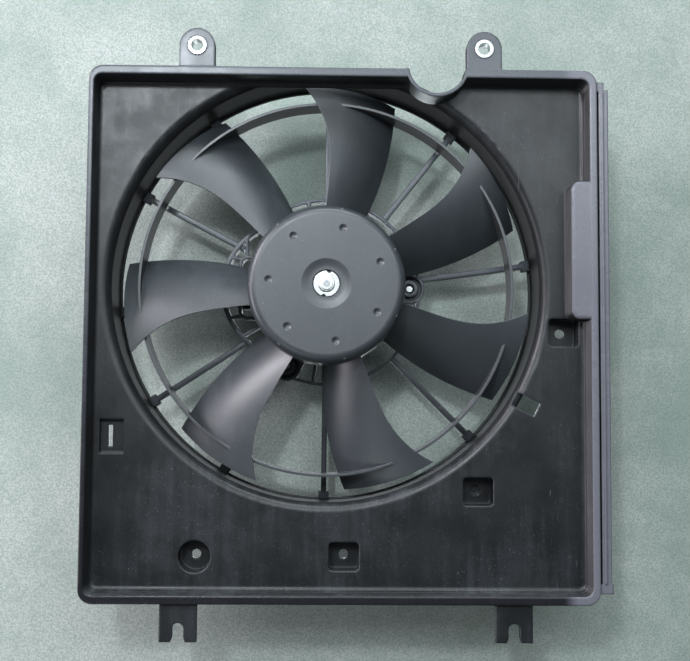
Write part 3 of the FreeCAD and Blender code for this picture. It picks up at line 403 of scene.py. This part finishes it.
@dataclass(frozen=True)
class WallDraft:
    """Draft of the tray's walls: turns the normal of walls in front of a depth towards the front."""

    depth: float = 0.0185
    outside: float = 0.165
    sideways_span: tuple[float, float] = (0.5, 0.2)
    depth_fade: float = 0.001
    outside_fade: float = 0.002

    def build(self) -> EffectGroup:
        """Build the group: the normal plus a forward lean on the walls, brought back to length 1.

        Returns:
            The group.
        """
        inputs = {"Place": None, "Normal": None, "Middle": None, "Depth": self.depth, "Outside": self.outside,
                  "Lean": 0.9}
        group = EffectGroup("draft", inputs, {"Normal": "NodeSocketVector"})
        graph, place = group.graph, group.inputs["Place"]
        sideways = graph.span(graph.math("ABSOLUTE", graph.part(graph.normal(), "Y")), *self.sideways_span)
        before = graph.span(graph.math("SUBTRACT", group.inputs["Depth"], graph.part(place, "Y")),
                            0.0, self.depth_fade)
        radius = graph.vector("LENGTH", graph.outward(place, group.inputs["Middle"])).outputs["Value"]
        outside = graph.span(graph.math("SUBTRACT", radius, group.inputs["Outside"]), 0.0, self.outside_fade)
        lean = graph.times(sideways, before, outside, group.inputs["Lean"], -1.0)
        forward = graph.add("ShaderNodeCombineXYZ", {"Y": lean}).outputs[0]
        leaned = graph.vector("ADD", group.inputs["Normal"], forward).outputs[0]
        group.give("Normal", graph.vector("NORMALIZE", leaned).outputs[0])
        return group


@dataclass(frozen=True)
class ShadedWalls:
    """Mask of the walls that look towards or away from the fan's axis, between two radii, where painted shade
    goes.
    """

    depth: float = 0.02
    depth_fade: float = 0.006
    radius_fade: float = 0.0005
    radial_span: tuple[float, float] = (0.45, 0.8)

    def build(self) -> EffectGroup:
        """Build the group: between the radii, times how far the face looks along the radius, times depth.

        Returns:
            The group.
        """
        group = EffectGroup("shaded_walls", {"Place": None, "Middle": None, "From": 0.13, "To": 0.16,
                                             "Depth": self.depth}, {"Mask": "NodeSocketFloat"})
        graph, place, inputs = group.graph, group.inputs["Place"], group.inputs
        outward = graph.outward(place, inputs["Middle"])
        radius = graph.vector("LENGTH", outward).outputs["Value"]
        past_inner = graph.span(radius, inputs["From"], graph.math("ADD", inputs["From"], self.radius_fade))
        short_of_outer = graph.span(radius, graph.math("ADD", inputs["To"], self.radius_fade), inputs["To"])
        along = graph.vector("DOT_PRODUCT", graph.vector("NORMALIZE", outward).outputs[0], graph.normal())
        radial = graph.span(graph.math("ABSOLUTE", along.outputs["Value"]), *self.radial_span)
        behind = graph.span(graph.math("SUBTRACT", graph.part(place, "Y"), inputs["Depth"]), 0.0,
                            self.depth_fade)
        group.give("Mask", graph.times(graph.times(past_inner, short_of_outer), radial, behind))
        return group


@dataclass(frozen=True)
class SoftEdges:
    """Soft edges: the normal rounded over a radius, and a mask of where that turned it."""

    samples: int = 6
    turned_span: tuple[float, float] = (0.97, 0.75)

    def build(self) -> EffectGroup:
        """Build the group: the mask grows as the rounded normal leaves the plain one.

        Returns:
            The group.
        """
        group = EffectGroup("soft_edges", {"Radius": 0.0008},
                            {"Normal": "NodeSocketVector", "Mask": "NodeSocketFloat"})
        graph = group.graph
        bevel = graph.add("ShaderNodeBevel", {"Radius": group.inputs["Radius"]}, samples=self.samples)
        rounded = bevel.outputs[0]
        match = graph.vector("DOT_PRODUCT", rounded, graph.normal()).outputs["Value"]
        group.give("Normal", rounded)
        group.give("Mask", graph.span(match, *self.turned_span))
        return group


class Effects:
    """The effects that several finishes share."""

    def __init__(self) -> None:
        """Build each group once."""
        self.grain = SkinGrain().build()
        self.bloom = DustyBloom().build()
        self.scuffs = Scuffs().build()
        self.edges = SoftEdges().build()
        self.proud = ProudFaces().build()
        self.shaded = ShadedWalls().build()
        self.draft = WallDraft().build()


def new_material(name: str) -> tuple[bpy.types.Material, Graph, bpy.types.Node, bpy.types.NodeSocket]:
    """Start a material.

    Args:
        name: the material's name.

    Returns:
        The material, its graph, its shader node and its object coordinates.
    """
    material = bpy.data.materials.new(name)
    material.use_nodes = True
    graph = Graph(material.node_tree)
    material.node_tree.nodes.clear()
    shader = graph.add("ShaderNodeBsdfPrincipled")
    graph.add("ShaderNodeOutputMaterial", {"Surface": shader.outputs[0]})
    place = graph.add("ShaderNodeTexCoord").outputs["Object"]
    return material, graph, shader, place


@dataclass(frozen=True)
class ProudBand:
    """Forward faces near one depth, polished, their colour running from a darker foot to a painted highlight
    at the head, as painted light from above.
    """

    depth: float
    reach: float
    foot: Rgb
    head: Rgb
    foot_height: float = -0.36
    head_height: float = -0.02


@dataclass(frozen=True)
class Plastic:
    """Moulded plastic: dark base, dusty bloom, handling marks, softened edges made lighter partly by wear and
    partly by painted highlight, and, where set, painted light on forward bands and painted shade on walls
    round the fan's axis.
    """

    base: Rgb
    # Colour of the dust, also used for the lighter edges, which are partly a painted highlight.
    dust_and_highlight: Rgb
    scratch: Rgb = (172, 180, 184)
    bloom: float = 0.5
    clouds: float = 9.0
    rough: float = 0.46
    rough_drift: float = 0.14
    rough_dust: float = 0.18
    drift_span: tuple[float, float] = (0.3, 0.7)
    grain_scale: float = 900.0
    grain_depth: float = 0.12
    grain_height: float = 0.0001
    scuffs: float = 0.35
    edge_radius: float = 0.0007
    # Share by which edges turn to the lighter colour: partly worn edges, partly painted highlight.
    edge_wear_and_highlight: float = 0.35
    # Painted light on forward faces: darker at the foot, painted highlight at the head.
    proud_bands: tuple[ProudBand, ...] = ()
    proud_gloss: float = 0.1
    # Paler painted highlight on the proud bands past an X.
    painted_highlight: Rgb = (110, 111, 119)
    painted_highlight_from: float = 0.0
    painted_highlight_fade: float = 0.012
    draft: float = 0.0
    # Painted shade on the walls round the fan's axis.
    shaded: Rgb = (8, 9, 10)
    shaded_reach: tuple[float, float] = (0.0, 0.0)
    shaded_rough: float = 0.95
    specular: float = 0.5

    def build(self, name: str, effects: Effects) -> bpy.types.Material:
        """Build the material.

        Args:
            name: the material's name.
            effects: the shared effects.

        Returns:
            The material.
        """
        material, graph, shader, place = new_material(name)
        bloom = effects.bloom.place(graph, {"Place": place, "Amount": self.bloom, "Clouds": self.clouds})
        scuffs = effects.scuffs.place(graph, {"Place": place, "Amount": self.scuffs})
        grain = effects.grain.place(graph, {"Place": place, "Scale": self.grain_scale})
        edges = effects.edges.place(graph, {"Radius": self.edge_radius})
        colour = graph.blend(bloom["Mask"], tone(*self.base), tone(*self.dust_and_highlight))
        # Lighter edges: partly worn edges, partly a painted highlight.
        colour = graph.blend(graph.times(edges["Mask"], self.edge_wear_and_highlight), colour, tone(*self.dust_and_highlight))
        marks = graph.math("MAXIMUM", scuffs["Mask"], bloom["Specks"])
        colour = graph.blend(marks, colour, tone(*self.scratch))
        drift = graph.span(grain["Drift"], *self.drift_span, self.rough - self.rough_drift,
                           self.rough + self.rough_drift)
        rough = graph.math("ADD", drift, graph.times(bloom["Mask"], self.rough_dust))
        # Painted light on the proud bands.
        for band in self.proud_bands:
            colour, rough = self.wear_and_paint_light(graph, effects, place, band, colour, rough)
        # Painted shade on the walls round the fan's axis.
        if self.shaded_reach[1] > 0.0:
            colour, rough = self.shade(graph, effects, place, colour, rough)
        normal = edges["Normal"]
        if self.draft > 0.0:
            normal = effects.draft.place(graph, {"Place": place, "Normal": normal, "Middle": FAN_AXIS,
                                                 "Lean": self.draft})["Normal"]
        bump = graph.add("ShaderNodeBump", {"Strength": self.grain_depth, "Distance": self.grain_height,
                                            "Height": grain["Height"], "Normal": normal}).outputs[0]
        wire(graph.tree, shader, {"Base Color": colour, "Roughness": rough, "Normal": bump,
                                  "Specular IOR Level": self.specular})
        return material

    def wear_and_paint_light(self, graph: Graph, effects: Effects, place: bpy.types.NodeSocket, band: ProudBand,
             colour: bpy.types.NodeSocket,
             rough: bpy.types.NodeSocket) -> tuple[bpy.types.NodeSocket, bpy.types.NodeSocket]:
        """Polish the forward faces of one band and paint light on them: darker at the foot, a painted
        highlight at the head, and a paler painted highlight past an X where that is set.

        Args:
            graph: the material's graph.
            effects: the shared effects.
            place: object coordinates.
            band: the band of faces.
            colour: the colour so far.
            rough: the roughness so far.

        Returns:
            The colour and the roughness with the polished faces and their painted light.
        """
        proud = effects.proud.place(graph, {"Place": place, "Depth": band.depth, "Reach": band.reach})["Mask"]
        # Painted light: darker at the foot, painted highlight at the head.
        height = graph.span(graph.part(place, "Z"), band.foot_height, band.head_height)
        painted_light = graph.blend(height, tone(*band.foot), tone(*band.head))
        # Paler painted highlight past an X.
        if self.painted_highlight_from > 0.0:
            highlight_share = graph.span(graph.part(place, "X"), self.painted_highlight_from,
                                self.painted_highlight_from + self.painted_highlight_fade)
            painted_light = graph.blend(highlight_share, painted_light, tone(*self.painted_highlight))
        rough = graph.math("SUBTRACT", rough, graph.times(proud, self.proud_gloss))
        return graph.blend(proud, colour, painted_light), rough

    def shade(self, graph: Graph, effects: Effects, place: bpy.types.NodeSocket, colour: bpy.types.NodeSocket,
              rough: bpy.types.NodeSocket) -> tuple[bpy.types.NodeSocket, bpy.types.NodeSocket]:
        """Paint shade on the walls round the fan's axis, and make them dull.

        Args:
            graph: the material's graph.
            effects: the shared effects.
            place: object coordinates.
            colour: the colour so far.
            rough: the roughness so far.

        Returns:
            The colour and the roughness with the dull walls.
        """
        inner, outer = self.shaded_reach
        feeds = {"Place": place, "Middle": FAN_AXIS, "From": inner, "To": outer}
        mask = effects.shaded.place(graph, feeds)["Mask"]
        rough = graph.span(mask, 0.0, 1.0, rough, self.shaded_rough)
        return graph.blend(mask, colour, tone(*self.shaded)), rough


@dataclass(frozen=True)
class Metal:
    """Bare or plated metal: cloudy tarnish, fine brushing and softened edges."""

    base: Rgb
    tarnish: Rgb
    rough: float = 0.3
    tarnish_share: float = 0.4
    tarnish_rough: float = 0.25
    brush: tuple[float, float, float] = (300.0, 300.0, 300.0)
    depth: float = 0.1
    height: float = 0.0001
    edge_radius: float = 0.0004
    edge_tone: Rgb = (225, 226, 228)
    edge_share: float = 0.3
    cloud_scale: float = 140.0
    cloud_detail: float = 5.0
    cloud_rough: float = 0.6
    cloud_span: tuple[float, float] = (0.35, 0.7)
    line_detail: float = 3.0
    line_rough: float = 0.6
    line_span: tuple[float, float] = (0.3, 0.7)
    line_swing: float = 0.25
    scuffs: float = 0.5
    scuff_rough: float = 0.2

    def build(self, name: str, effects: Effects) -> bpy.types.Material:
        """Build the material.

        Args:
            name: the material's name.
            effects: the shared effects.

        Returns:
            The material.
        """
        material, graph, shader, place = new_material(name)
        clouds = graph.span(graph.noise(place, self.cloud_scale, self.cloud_detail, self.cloud_rough),
                            *self.cloud_span)
        brushed = graph.add("ShaderNodeMapping", {"Vector": place, "Scale": self.brush}).outputs[0]
        lines = graph.noise(brushed, 1.0, self.line_detail, self.line_rough)
        edges = effects.edges.place(graph, {"Radius": self.edge_radius})
        scuffs = effects.scuffs.place(graph, {"Place": place, "Amount": self.scuffs})
        share = graph.times(clouds, self.tarnish_share)
        colour = graph.blend(share, tone(*self.base), tone(*self.tarnish))
        colour = graph.blend(graph.times(edges["Mask"], self.edge_share), colour, tone(*self.edge_tone))
        brushing = graph.span(lines, *self.line_span, self.rough * (1 - self.line_swing),
                              self.rough * (1 + self.line_swing))
        rough = graph.math("ADD", brushing, graph.times(share, self.tarnish_rough))
        rough = graph.math("ADD", rough, graph.times(scuffs["Mask"], self.scuff_rough))
        bump = graph.add("ShaderNodeBump", {"Strength": self.depth, "Distance": self.height, "Height": lines,
                                            "Normal": edges["Normal"]}).outputs[0]
        wire(graph.tree, shader, {"Base Color": colour, "Roughness": rough, "Normal": bump, "Metallic": 1.0})
        return material


FINISHES: dict[Slot, Plastic | Metal] = {
    # Shroud: painted light on the two proud bands and on the right-hand side, painted shade on the barrel's
    # walls, and lighter edges that are partly painted highlight.
    Slot.SHROUD_PLASTIC: Plastic(
        (24, 26, 28), (92, 98, 104), bloom=0.3, clouds=16.0, rough=0.36, rough_drift=0.05, scuffs=0.22,
        grain_scale=1300.0, grain_depth=0.14, edge_radius=0.002, edge_wear_and_highlight=0.5,
        proud_bands=(ProudBand(0.0, 0.0035, (30, 31, 35), (80, 84, 90)),
                     ProudBand(0.0625, 0.0015, (44, 46, 51), (96, 101, 108))),
        painted_highlight_from=0.158, draft=0.9, shaded_reach=(0.12, 0.1622)),
    # Fan: painted shade on the hoop's walls, and lighter edges that are partly painted highlight.
    Slot.FAN_PLASTIC: Plastic(
        (52, 57, 61), (104, 108, 116), bloom=0.16, clouds=30.0, rough=0.38, rough_drift=0.03, scuffs=0.08,
        grain_scale=1600.0, edge_wear_and_highlight=0.45, shaded_reach=(0.1362, 0.1396), shaded=(16, 18, 20),
        shaded_rough=0.8, specular=0.9),
    Slot.CONNECTOR_PLASTIC: Plastic((30, 31, 32), (90, 94, 98), bloom=0.25, rough=0.42, scuffs=0.15),
    Slot.BRUSH_BOARD: Plastic((92, 66, 38), (140, 118, 88), bloom=0.3, rough=0.6, scuffs=0.1),
    Slot.MAGNET: Plastic((48, 47, 46), (92, 90, 88), bloom=0.4, rough=0.7, grain_depth=0.3, scuffs=0.1),
    Slot.CARBON: Plastic((34, 33, 33), (70, 68, 68), bloom=0.3, rough=0.55, grain_depth=0.25, scuffs=0.2),
    Slot.COLLAR_STEEL: Metal((196, 198, 198), (140, 142, 140), rough=0.34, tarnish_share=0.35),
    Slot.BRIGHT_STEEL: Metal((214, 216, 216), (160, 162, 160), rough=0.28, tarnish_share=0.3),
    Slot.CASING_STEEL: Metal((120, 122, 124), (70, 72, 74), rough=0.42, tarnish_share=0.6),
    Slot.SHAFT_STEEL: Metal((186, 188, 190), (120, 122, 124), rough=0.22, tarnish_share=0.3,
                            brush=(200.0, 3000.0, 200.0)),
    Slot.CORE_STEEL: Metal((120, 122, 126), (74, 74, 76), rough=0.4, tarnish_share=0.5,
                           brush=(30.0, 2600.0, 30.0), depth=0.4),
    Slot.COPPER: Metal((196, 118, 70), (120, 62, 36), rough=0.35, tarnish_share=0.5,
                       brush=(900.0, 900.0, 900.0), depth=0.5),
    Slot.BRONZE: Metal((176, 140, 88), (110, 84, 52), rough=0.45, tarnish_share=0.5),
    Slot.SPRING_STEEL: Metal((168, 170, 174), (110, 112, 116)),
}


class PackedFan:
    """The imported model: its nodes and its record."""

    def __init__(self, loaded: dict[str, Any]) -> None:
        self.nodes: dict[str, bpy.types.Object] = loaded["nodes"]
        self.record: dict[str, Any] = loaded["record"]

    def slots(self) -> dict[str, Slot]:
        """Material slot of each node, as the record names it."""
        return {entry["node"]: Slot(entry["material_slot"]) for entry in self.record["subparts"]}

    def dress(self, materials: dict[Slot, bpy.types.Material]) -> None:
        """Assign the materials to the nodes.

        Args:
            materials: the material of each slot.
        """
        for node, slot in self.slots().items():
            mesh = self.nodes[node].data
            mesh.materials.clear()
            mesh.materials.append(materials[slot])
            log.info("dressed %s as %s", node, slot.value)


@dataclass(frozen=True)
class MotorScrews:
    """Flanged hexagon screws with a lobed recess and a cut thread, in place of the plain motor screws.

    Heights run along the screw's axis from the face that its flange sits on, the head's way.
    """

    count: int = 3
    circle: float = 0.0638
    across_flats: float = 0.0082
    chamfer_inside: float = 0.97
    chamfer_outside: float = 1.05
    flange_radius: float = 0.0056
    flange_height: float = 0.0012
    flange_shoulder: float = 0.8
    flange_rim: float = 0.5
    head_height: float = 0.004
    recess_radius: float = 0.0026
    recess_depth: float = 0.0016
    recess_foot: float = 0.92
    lobe_depth: float = 0.16
    lobes: int = 6
    soft: float = 0.0001
    pole: float = 0.00001
    major_radius: float = 0.003
    thread_depth: float = 0.00042
    pitch: float = 0.001
    steps_per_turn: int = 8
    run_out: float = 0.0005
    run_out_share: float = 0.2
    tip_share: float = 0.78
    plain_shank: float = 0.003
    sides: int = 96

    def angles(self, mesh: bpy.types.Mesh) -> list[float]:
        """Find the screws' angles about the fan's axis.

        The angles of all points of the plain screws are multiplied by the count, so that the equally
        spaced screws fall together, and the mean direction is divided by the count again.

        Args:
            mesh: the plain screws' mesh.

        Returns:
            The angle of each screw.
        """
        points = np.empty(len(mesh.vertices) * 3)
        mesh.vertices.foreach_get("co", points)
        away = points.reshape(-1, 3) - np.array(FAN_AXIS)
        turn = np.arctan2(away[:, 2], away[:, 0])
        first = float(np.angle(np.mean(np.exp(1j * self.count * turn)))) / self.count
        return [first + 2 * math.pi / self.count * step for step in range(self.count)]

    def head(self, turn: np.ndarray) -> list[tuple[Any, float]]:
        """Work out the head, from the recess's floor over the hexagon and the flange to the shank.

        The hexagon's radius is half its width across flats over the cosine of the angle from the nearest
        flat's middle. The recess's radius dips by a share of itself, once per lobe, as a cosine.

        Args:
            turn: the angles round the axis.

        Returns:
            The radius at each angle and the height of each row.
        """
        sixth = math.pi / 3
        hexagon = self.across_flats / 2 / np.cos(np.mod(turn, sixth) - sixth / 2)
        lobed = self.recess_radius * (1.0 - self.lobe_depth * (1.0 + np.cos(self.lobes * turn)) / 2)
        chamfer, top, soft = self.across_flats / 2, self.head_height, self.soft
        floor = top - self.recess_depth
        return [(self.pole, floor), (lobed * self.recess_foot, floor), (lobed, floor + soft),
                (lobed, top - soft), (lobed + 2 * soft, top), (chamfer * self.chamfer_inside, top),
                (np.minimum(hexagon, chamfer * self.chamfer_outside), top - 3 * soft),
                (hexagon, top - 7 * soft), (hexagon, self.flange_height + 4 * soft),
                (hexagon + 3 * soft, self.flange_height + soft),
                (self.flange_radius - 3 * soft, self.flange_height * self.flange_shoulder),
                (self.flange_radius, self.flange_height * self.flange_rim), (self.flange_radius, soft),
                (self.flange_radius - soft, 0.0), (self.major_radius, 0.0),
                (self.major_radius, -self.plain_shank)]

    def thread(self, turn: np.ndarray, shank: float) -> tuple[np.ndarray, np.ndarray]:
        """Work out the thread as a surface over angle and height.

        The phase is the height in pitches plus the share of a turn, the ridge is a triangle wave of the
        phase, and the radius falls short of the full one by the thread's depth times what the ridge
        lacks. The depth fades in over a pitch and out towards the tip.

        Args:
            turn: the angles round the axis.
            shank: the length under the head.

        Returns:
            The radius at each height and angle, and the heights.
        """
        step = self.pitch / self.steps_per_turn
        heights = np.arange(-self.plain_shank - step, self.run_out - shank, -step)
        phase = np.mod(heights[:, None] / self.pitch + turn / (2 * math.pi), 1.0)
        ridge = 1.0 - np.abs(2 * phase - 1.0)
        fade = np.minimum((-self.plain_shank - heights) / self.pitch,
                          (heights + shank) / self.pitch + self.run_out_share)
        return self.major_radius - self.thread_depth * np.minimum(fade, 1.0)[:, None] * (1.0 - ridge), heights

    def surface(self, shank: float) -> np.ndarray:
        """Work out one screw's skin at the origin, its axis along Y.

        Each row is a ring: its radius times the angle's cosine and sine, at the row's height.

        Args:
            shank: the length under the head.

        Returns:
            The points, by row, by angle and by coordinate.
        """
        turn = np.linspace(0.0, 2 * math.pi, self.sides, endpoint=False)
        threaded, heights = self.thread(turn, shank)
        rows = self.head(turn) + list(zip(threaded, heights.tolist()))
        rows += [(self.major_radius * self.tip_share, -shank), (self.pole, -shank)]
        radius = np.stack([np.broadcast_to(row, turn.shape) for row, _ in rows])
        height = np.broadcast_to(np.array([level for _, level in rows])[:, None], radius.shape)
        return np.stack([radius * np.cos(turn), height, radius * np.sin(turn)], axis=2)

    def skin(self, name: str, points: np.ndarray) -> bpy.types.Object:
        """Make a mesh object from rings of points.

        Each quad joins two neighbouring angles of two neighbouring rings, and a polygon closes each end.

        Args:
            name: the object's name.
            points: the points, by ring, by angle and by coordinate.

        Returns:
            The object, closed, with its normals outward.
        """
        rings, around = points.shape[:2]
        number = np.arange(rings * around).reshape(rings, around)
        beside = np.roll(number, -1, axis=1)
        quads = np.stack([number[:-1], beside[:-1], beside[1:], number[1:]], axis=-1).reshape(-1, 4)
        ends = [number[0, ::-1].tolist(), number[-1].tolist()]
        mesh = bpy.data.meshes.new(name)
        mesh.from_pydata(points.reshape(-1, 3).tolist(), [], quads.tolist() + ends)
        shell = bmesh.new()
        shell.from_mesh(mesh)
        bmesh.ops.recalc_face_normals(shell, faces=shell.faces)
        shell.to_mesh(mesh)
        shell.free()
        piece = bpy.data.objects.new(name, mesh)
        bpy.context.scene.collection.objects.link(piece)
        return piece

    def build(self, fan: PackedFan, material: bpy.types.Material) -> None:
        """Make the screws and let them stand for the plain ones.

        Args:
            fan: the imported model.
            material: the screws' material.
        """
        low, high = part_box("motor_screws")
        seat = high[1] - self.head_height
        shank = seat - low[1]
        points = self.surface(shank)
        for index, angle in enumerate(self.angles(fan.nodes["motor_screws"].data)):
            place = np.array([FAN_AXIS[0] + self.circle * math.cos(angle), seat,
                              FAN_AXIS[2] + self.circle * math.sin(angle)])
            screw = self.skin("motor_screw_%d" % (index + 1), points + place)
            screw.data.materials.append(material)
            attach(screw, "shroud_and_motor")
            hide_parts("motor_screws")
            log.info("made %s, %.4f m long under its head", screw.name, shank)


@dataclass(frozen=True)
class PhotoCamera:
    """Camera that stands where the reference view was taken from."""

    frame_width: float = 690.0
    frame_height: float = 661.0
    focal_pixels: float = 1128.0
    sensor: float = 36.0
    near: float = 0.01
    stand: tuple[float, float, float] = (-0.01178, -0.79581, -0.26037)
    meeting_x: float = 321.82
    meeting_y: float = 409.19
    roll: float = 0.0071

    def axes(self) -> np.ndarray:
        """World axes seen from the camera.

        Returns:
            A matrix with the world's X, Y and Z as columns, in the camera's right, down and forward parts.
            World Y runs through the point where lines into depth meet, X is level but for the roll, and
            Z is square to both and up.
        """
        depth = np.array([(self.meeting_x - self.frame_width / 2) / self.focal_pixels,
                          (self.meeting_y - self.frame_height / 2) / self.focal_pixels, 1.0])
        depth /= np.linalg.norm(depth)
        across = np.array([math.cos(self.roll), math.sin(self.roll), 0.0])
        across -= depth * (across @ depth)
        across /= np.linalg.norm(across)
        return np.stack([across, depth, np.cross(across, depth)], axis=1)

    def build(self) -> None:
        """Make the camera and make it the scene's own."""
        turn = (np.diag([1.0, -1.0, -1.0]) @ self.axes()).T
        camera = bpy.data.objects.new("reference_camera", bpy.data.cameras.new("reference_camera"))
        camera.data.sensor_width = self.sensor
        camera.data.lens = self.sensor * self.focal_pixels / self.frame_width
        camera.data.clip_start = self.near
        camera.matrix_world = Matrix.Translation(self.stand) @ Matrix(turn.tolist()).to_4x4()
        bpy.context.scene.collection.objects.link(camera)
        bpy.context.scene.camera = camera
        log.info("camera stands at %s", self.stand)


class Light(Enum):
    """Colours of the lamps' light."""

    COOL = (0.87, 0.95, 1.0)
    LAVENDER = (0.97, 0.92, 1.0)


@dataclass(frozen=True)
class Lamp:
    """Soft rectangular lamp that stands at a place from the part's middle and looks at it."""

    name: str
    place: tuple[float, float, float]
    size: tuple[float, float]
    power: float
    light: Light = Light.COOL

    def build(self, middle: Vector) -> None:
        """Make the lamp.

        Args:
            middle: the middle of the part.
        """
        lamp = bpy.data.lights.new(self.name, "AREA")
        lamp.shape = "RECTANGLE"
        lamp.size, lamp.size_y = self.size
        lamp.energy = self.power
        lamp.color = self.light.value
        holder = bpy.data.objects.new(self.name, lamp)
        stand = Vector(self.place) + middle
        turn = (middle - stand).to_track_quat("-Z", "Y").to_matrix().to_4x4()
        holder.matrix_world = Matrix.Translation(stand) @ turn
        bpy.context.scene.collection.objects.link(holder)
        log.info("lamp %s, %.0f W", self.name, self.power)


@dataclass(frozen=True)
class Floor:
    """Plain pale floor that the part lies against, seen only from its front."""

    gap: float = 0.002
    reach: float = 3.0
    darker: Rgb = (156, 169, 161)
    lighter: Rgb = (192, 198, 193)
    fleck: Rgb = (126, 145, 133)
    cloud_scale: float = 5.0
    cloud_detail: float = 8.0
    cloud_rough: float = 0.72
    cloud_span: tuple[float, float] = (0.36, 0.64)
    fleck_scale: float = 760.0
    fleck_detail: float = 3.0
    fleck_rough: float = 0.75
    fleck_span: tuple[float, float] = (0.42, 0.58)
    fleck_share: float = 0.6
    rough: float = 0.8

    def build(self, back: float) -> None:
        """Make the floor.

        Args:
            back: how far back the part reaches along Y.
        """
        y, reach = back + self.gap, self.reach
        mesh = bpy.data.meshes.new("floor")
        mesh.from_pydata([(-reach, y, -reach), (reach, y, -reach), (reach, y, reach), (-reach, y, reach)], [],
                         [(0, 1, 2, 3)])
        mesh.materials.append(self.dress())
        floor = bpy.data.objects.new("floor", mesh)
        bpy.context.scene.collection.objects.link(floor)
        floor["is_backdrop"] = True
        log.info("floor at %.4f m", y)

    def dress(self) -> bpy.types.Material:
        """Make the floor's finish: clouds and flecks, clear from behind and to shadow rays.

        Returns:
            The material.
        """
        material, graph, shader, place = new_material("pale_floor")
        clouds = graph.noise(place, self.cloud_scale, self.cloud_detail, self.cloud_rough)
        flecks = graph.noise(place, self.fleck_scale, self.fleck_detail, self.fleck_rough)
        colour = graph.blend(graph.span(clouds, *self.cloud_span), tone(*self.darker), tone(*self.lighter))
        colour = graph.blend(graph.span(flecks, *self.fleck_span, 0.0, self.fleck_share), colour,
                             tone(*self.fleck))
        wire(graph.tree, shader, {"Base Color": colour, "Roughness": self.rough})
        clear = graph.add("ShaderNodeBsdfTransparent")
        back = graph.add("ShaderNodeNewGeometry").outputs["Backfacing"]
        shadow = graph.add("ShaderNodeLightPath").outputs["Is Shadow Ray"]
        mix = graph.add("ShaderNodeMixShader", {0: graph.math("MAXIMUM", back, shadow), 1: shader.outputs[0],
                                                2: clear.outputs[0]})
        output = next(node for node in graph.tree.nodes if node.type == "OUTPUT_MATERIAL")
        wire(graph.tree, output, {"Surface": mix.outputs[0]})
        return material


@dataclass(frozen=True)
class Surroundings:
    """Soft world: bright above and dark below, and pale where the floor doesn't stand behind the part."""

    sky: Rgb = (232, 242, 246)
    pale: Rgb = (188, 200, 196)
    sky_level: float = 0.5
    ground_level: float = 0.09
    height_span: tuple[float, float] = (-0.15, 0.6)
    behind_span: tuple[float, float] = (0.0, 0.2)

    def build(self) -> None:
        """Make the world and make it the scene's own."""
        world = bpy.data.worlds.new("surroundings")
        world.use_nodes = True
        world.node_tree.nodes.clear()
        graph = Graph(world.node_tree)
        look = graph.add("ShaderNodeTexCoord").outputs["Generated"]
        level = graph.span(graph.part(look, "Z"), *self.height_span, self.ground_level, self.sky_level)
        sky = graph.add("ShaderNodeBackground", {"Color": tone(*self.sky), "Strength": level})
        pale = graph.add("ShaderNodeBackground", {"Color": tone(*self.pale), "Strength": 1.0})
        path = graph.add("ShaderNodeLightPath").outputs
        mirrored = graph.times(path["Is Glossy Ray"], graph.span(graph.part(look, "Y"), *self.behind_span))
        share = graph.math("MAXIMUM", path["Is Camera Ray"], mirrored)
        both = graph.add("ShaderNodeMixShader", {0: share, 1: sky.outputs[0], 2: pale.outputs[0]})
        graph.add("ShaderNodeOutputWorld", {"Surface": both.outputs[0]})
        bpy.context.scene.world = world
        log.info("world is set")


@dataclass(frozen=True)
class Studio:
    """Floor behind the part, lamps and world."""

    floor: Floor = Floor()
    surroundings: Surroundings = Surroundings()
    lamps: tuple[Lamp, ...] = (
        Lamp("panel", (0.25, -1.75, 0.6), (2.0, 0.5), 13.0),
        Lamp("key", (-1.15, -0.85, 0.7), (0.5, 0.5), 15.0, Light.LAVENDER),
        Lamp("side", (-1.5, -0.45, -0.1), (0.5, 0.9), 8.0, Light.LAVENDER),
        Lamp("top", (0.1, -0.75, 1.15), (0.9, 0.4), 8.0),
        Lamp("spot", (-0.35, -1.6, 0.6), (0.12, 0.12), 7.0),
        Lamp("low", (-0.7, -1.2, -1.1), (0.8, 0.4), 2.0),
        Lamp("rear", (0.0, 2.8, 0.1), (0.5, 0.5), 36.0),
    )

    def build(self) -> None:
        """Make the floor, the lamps and the world."""
        low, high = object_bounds()
        self.floor.build(high[1])
        for lamp in self.lamps:
            lamp.build((Vector(low) + Vector(high)) / 2)
        self.surroundings.build()


def main() -> None:
    """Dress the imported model, add the screws, and set up the camera, the floor, the lamps and the world."""
    logging.basicConfig(level=logging.INFO, format="%(name)s: %(message)s")
    fan = PackedFan(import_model())
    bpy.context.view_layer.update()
    effects = Effects()
    materials = {slot: finish.build(slot.value, effects) for slot, finish in FINISHES.items()}
    fan.dress(materials)
    MotorScrews().build(fan, materials[Slot.BRIGHT_STEEL])
    PhotoCamera().build()
    Studio().build()
    bpy.context.scene.view_settings.view_transform = "Standard"


if __name__ == "__main__":
    main()
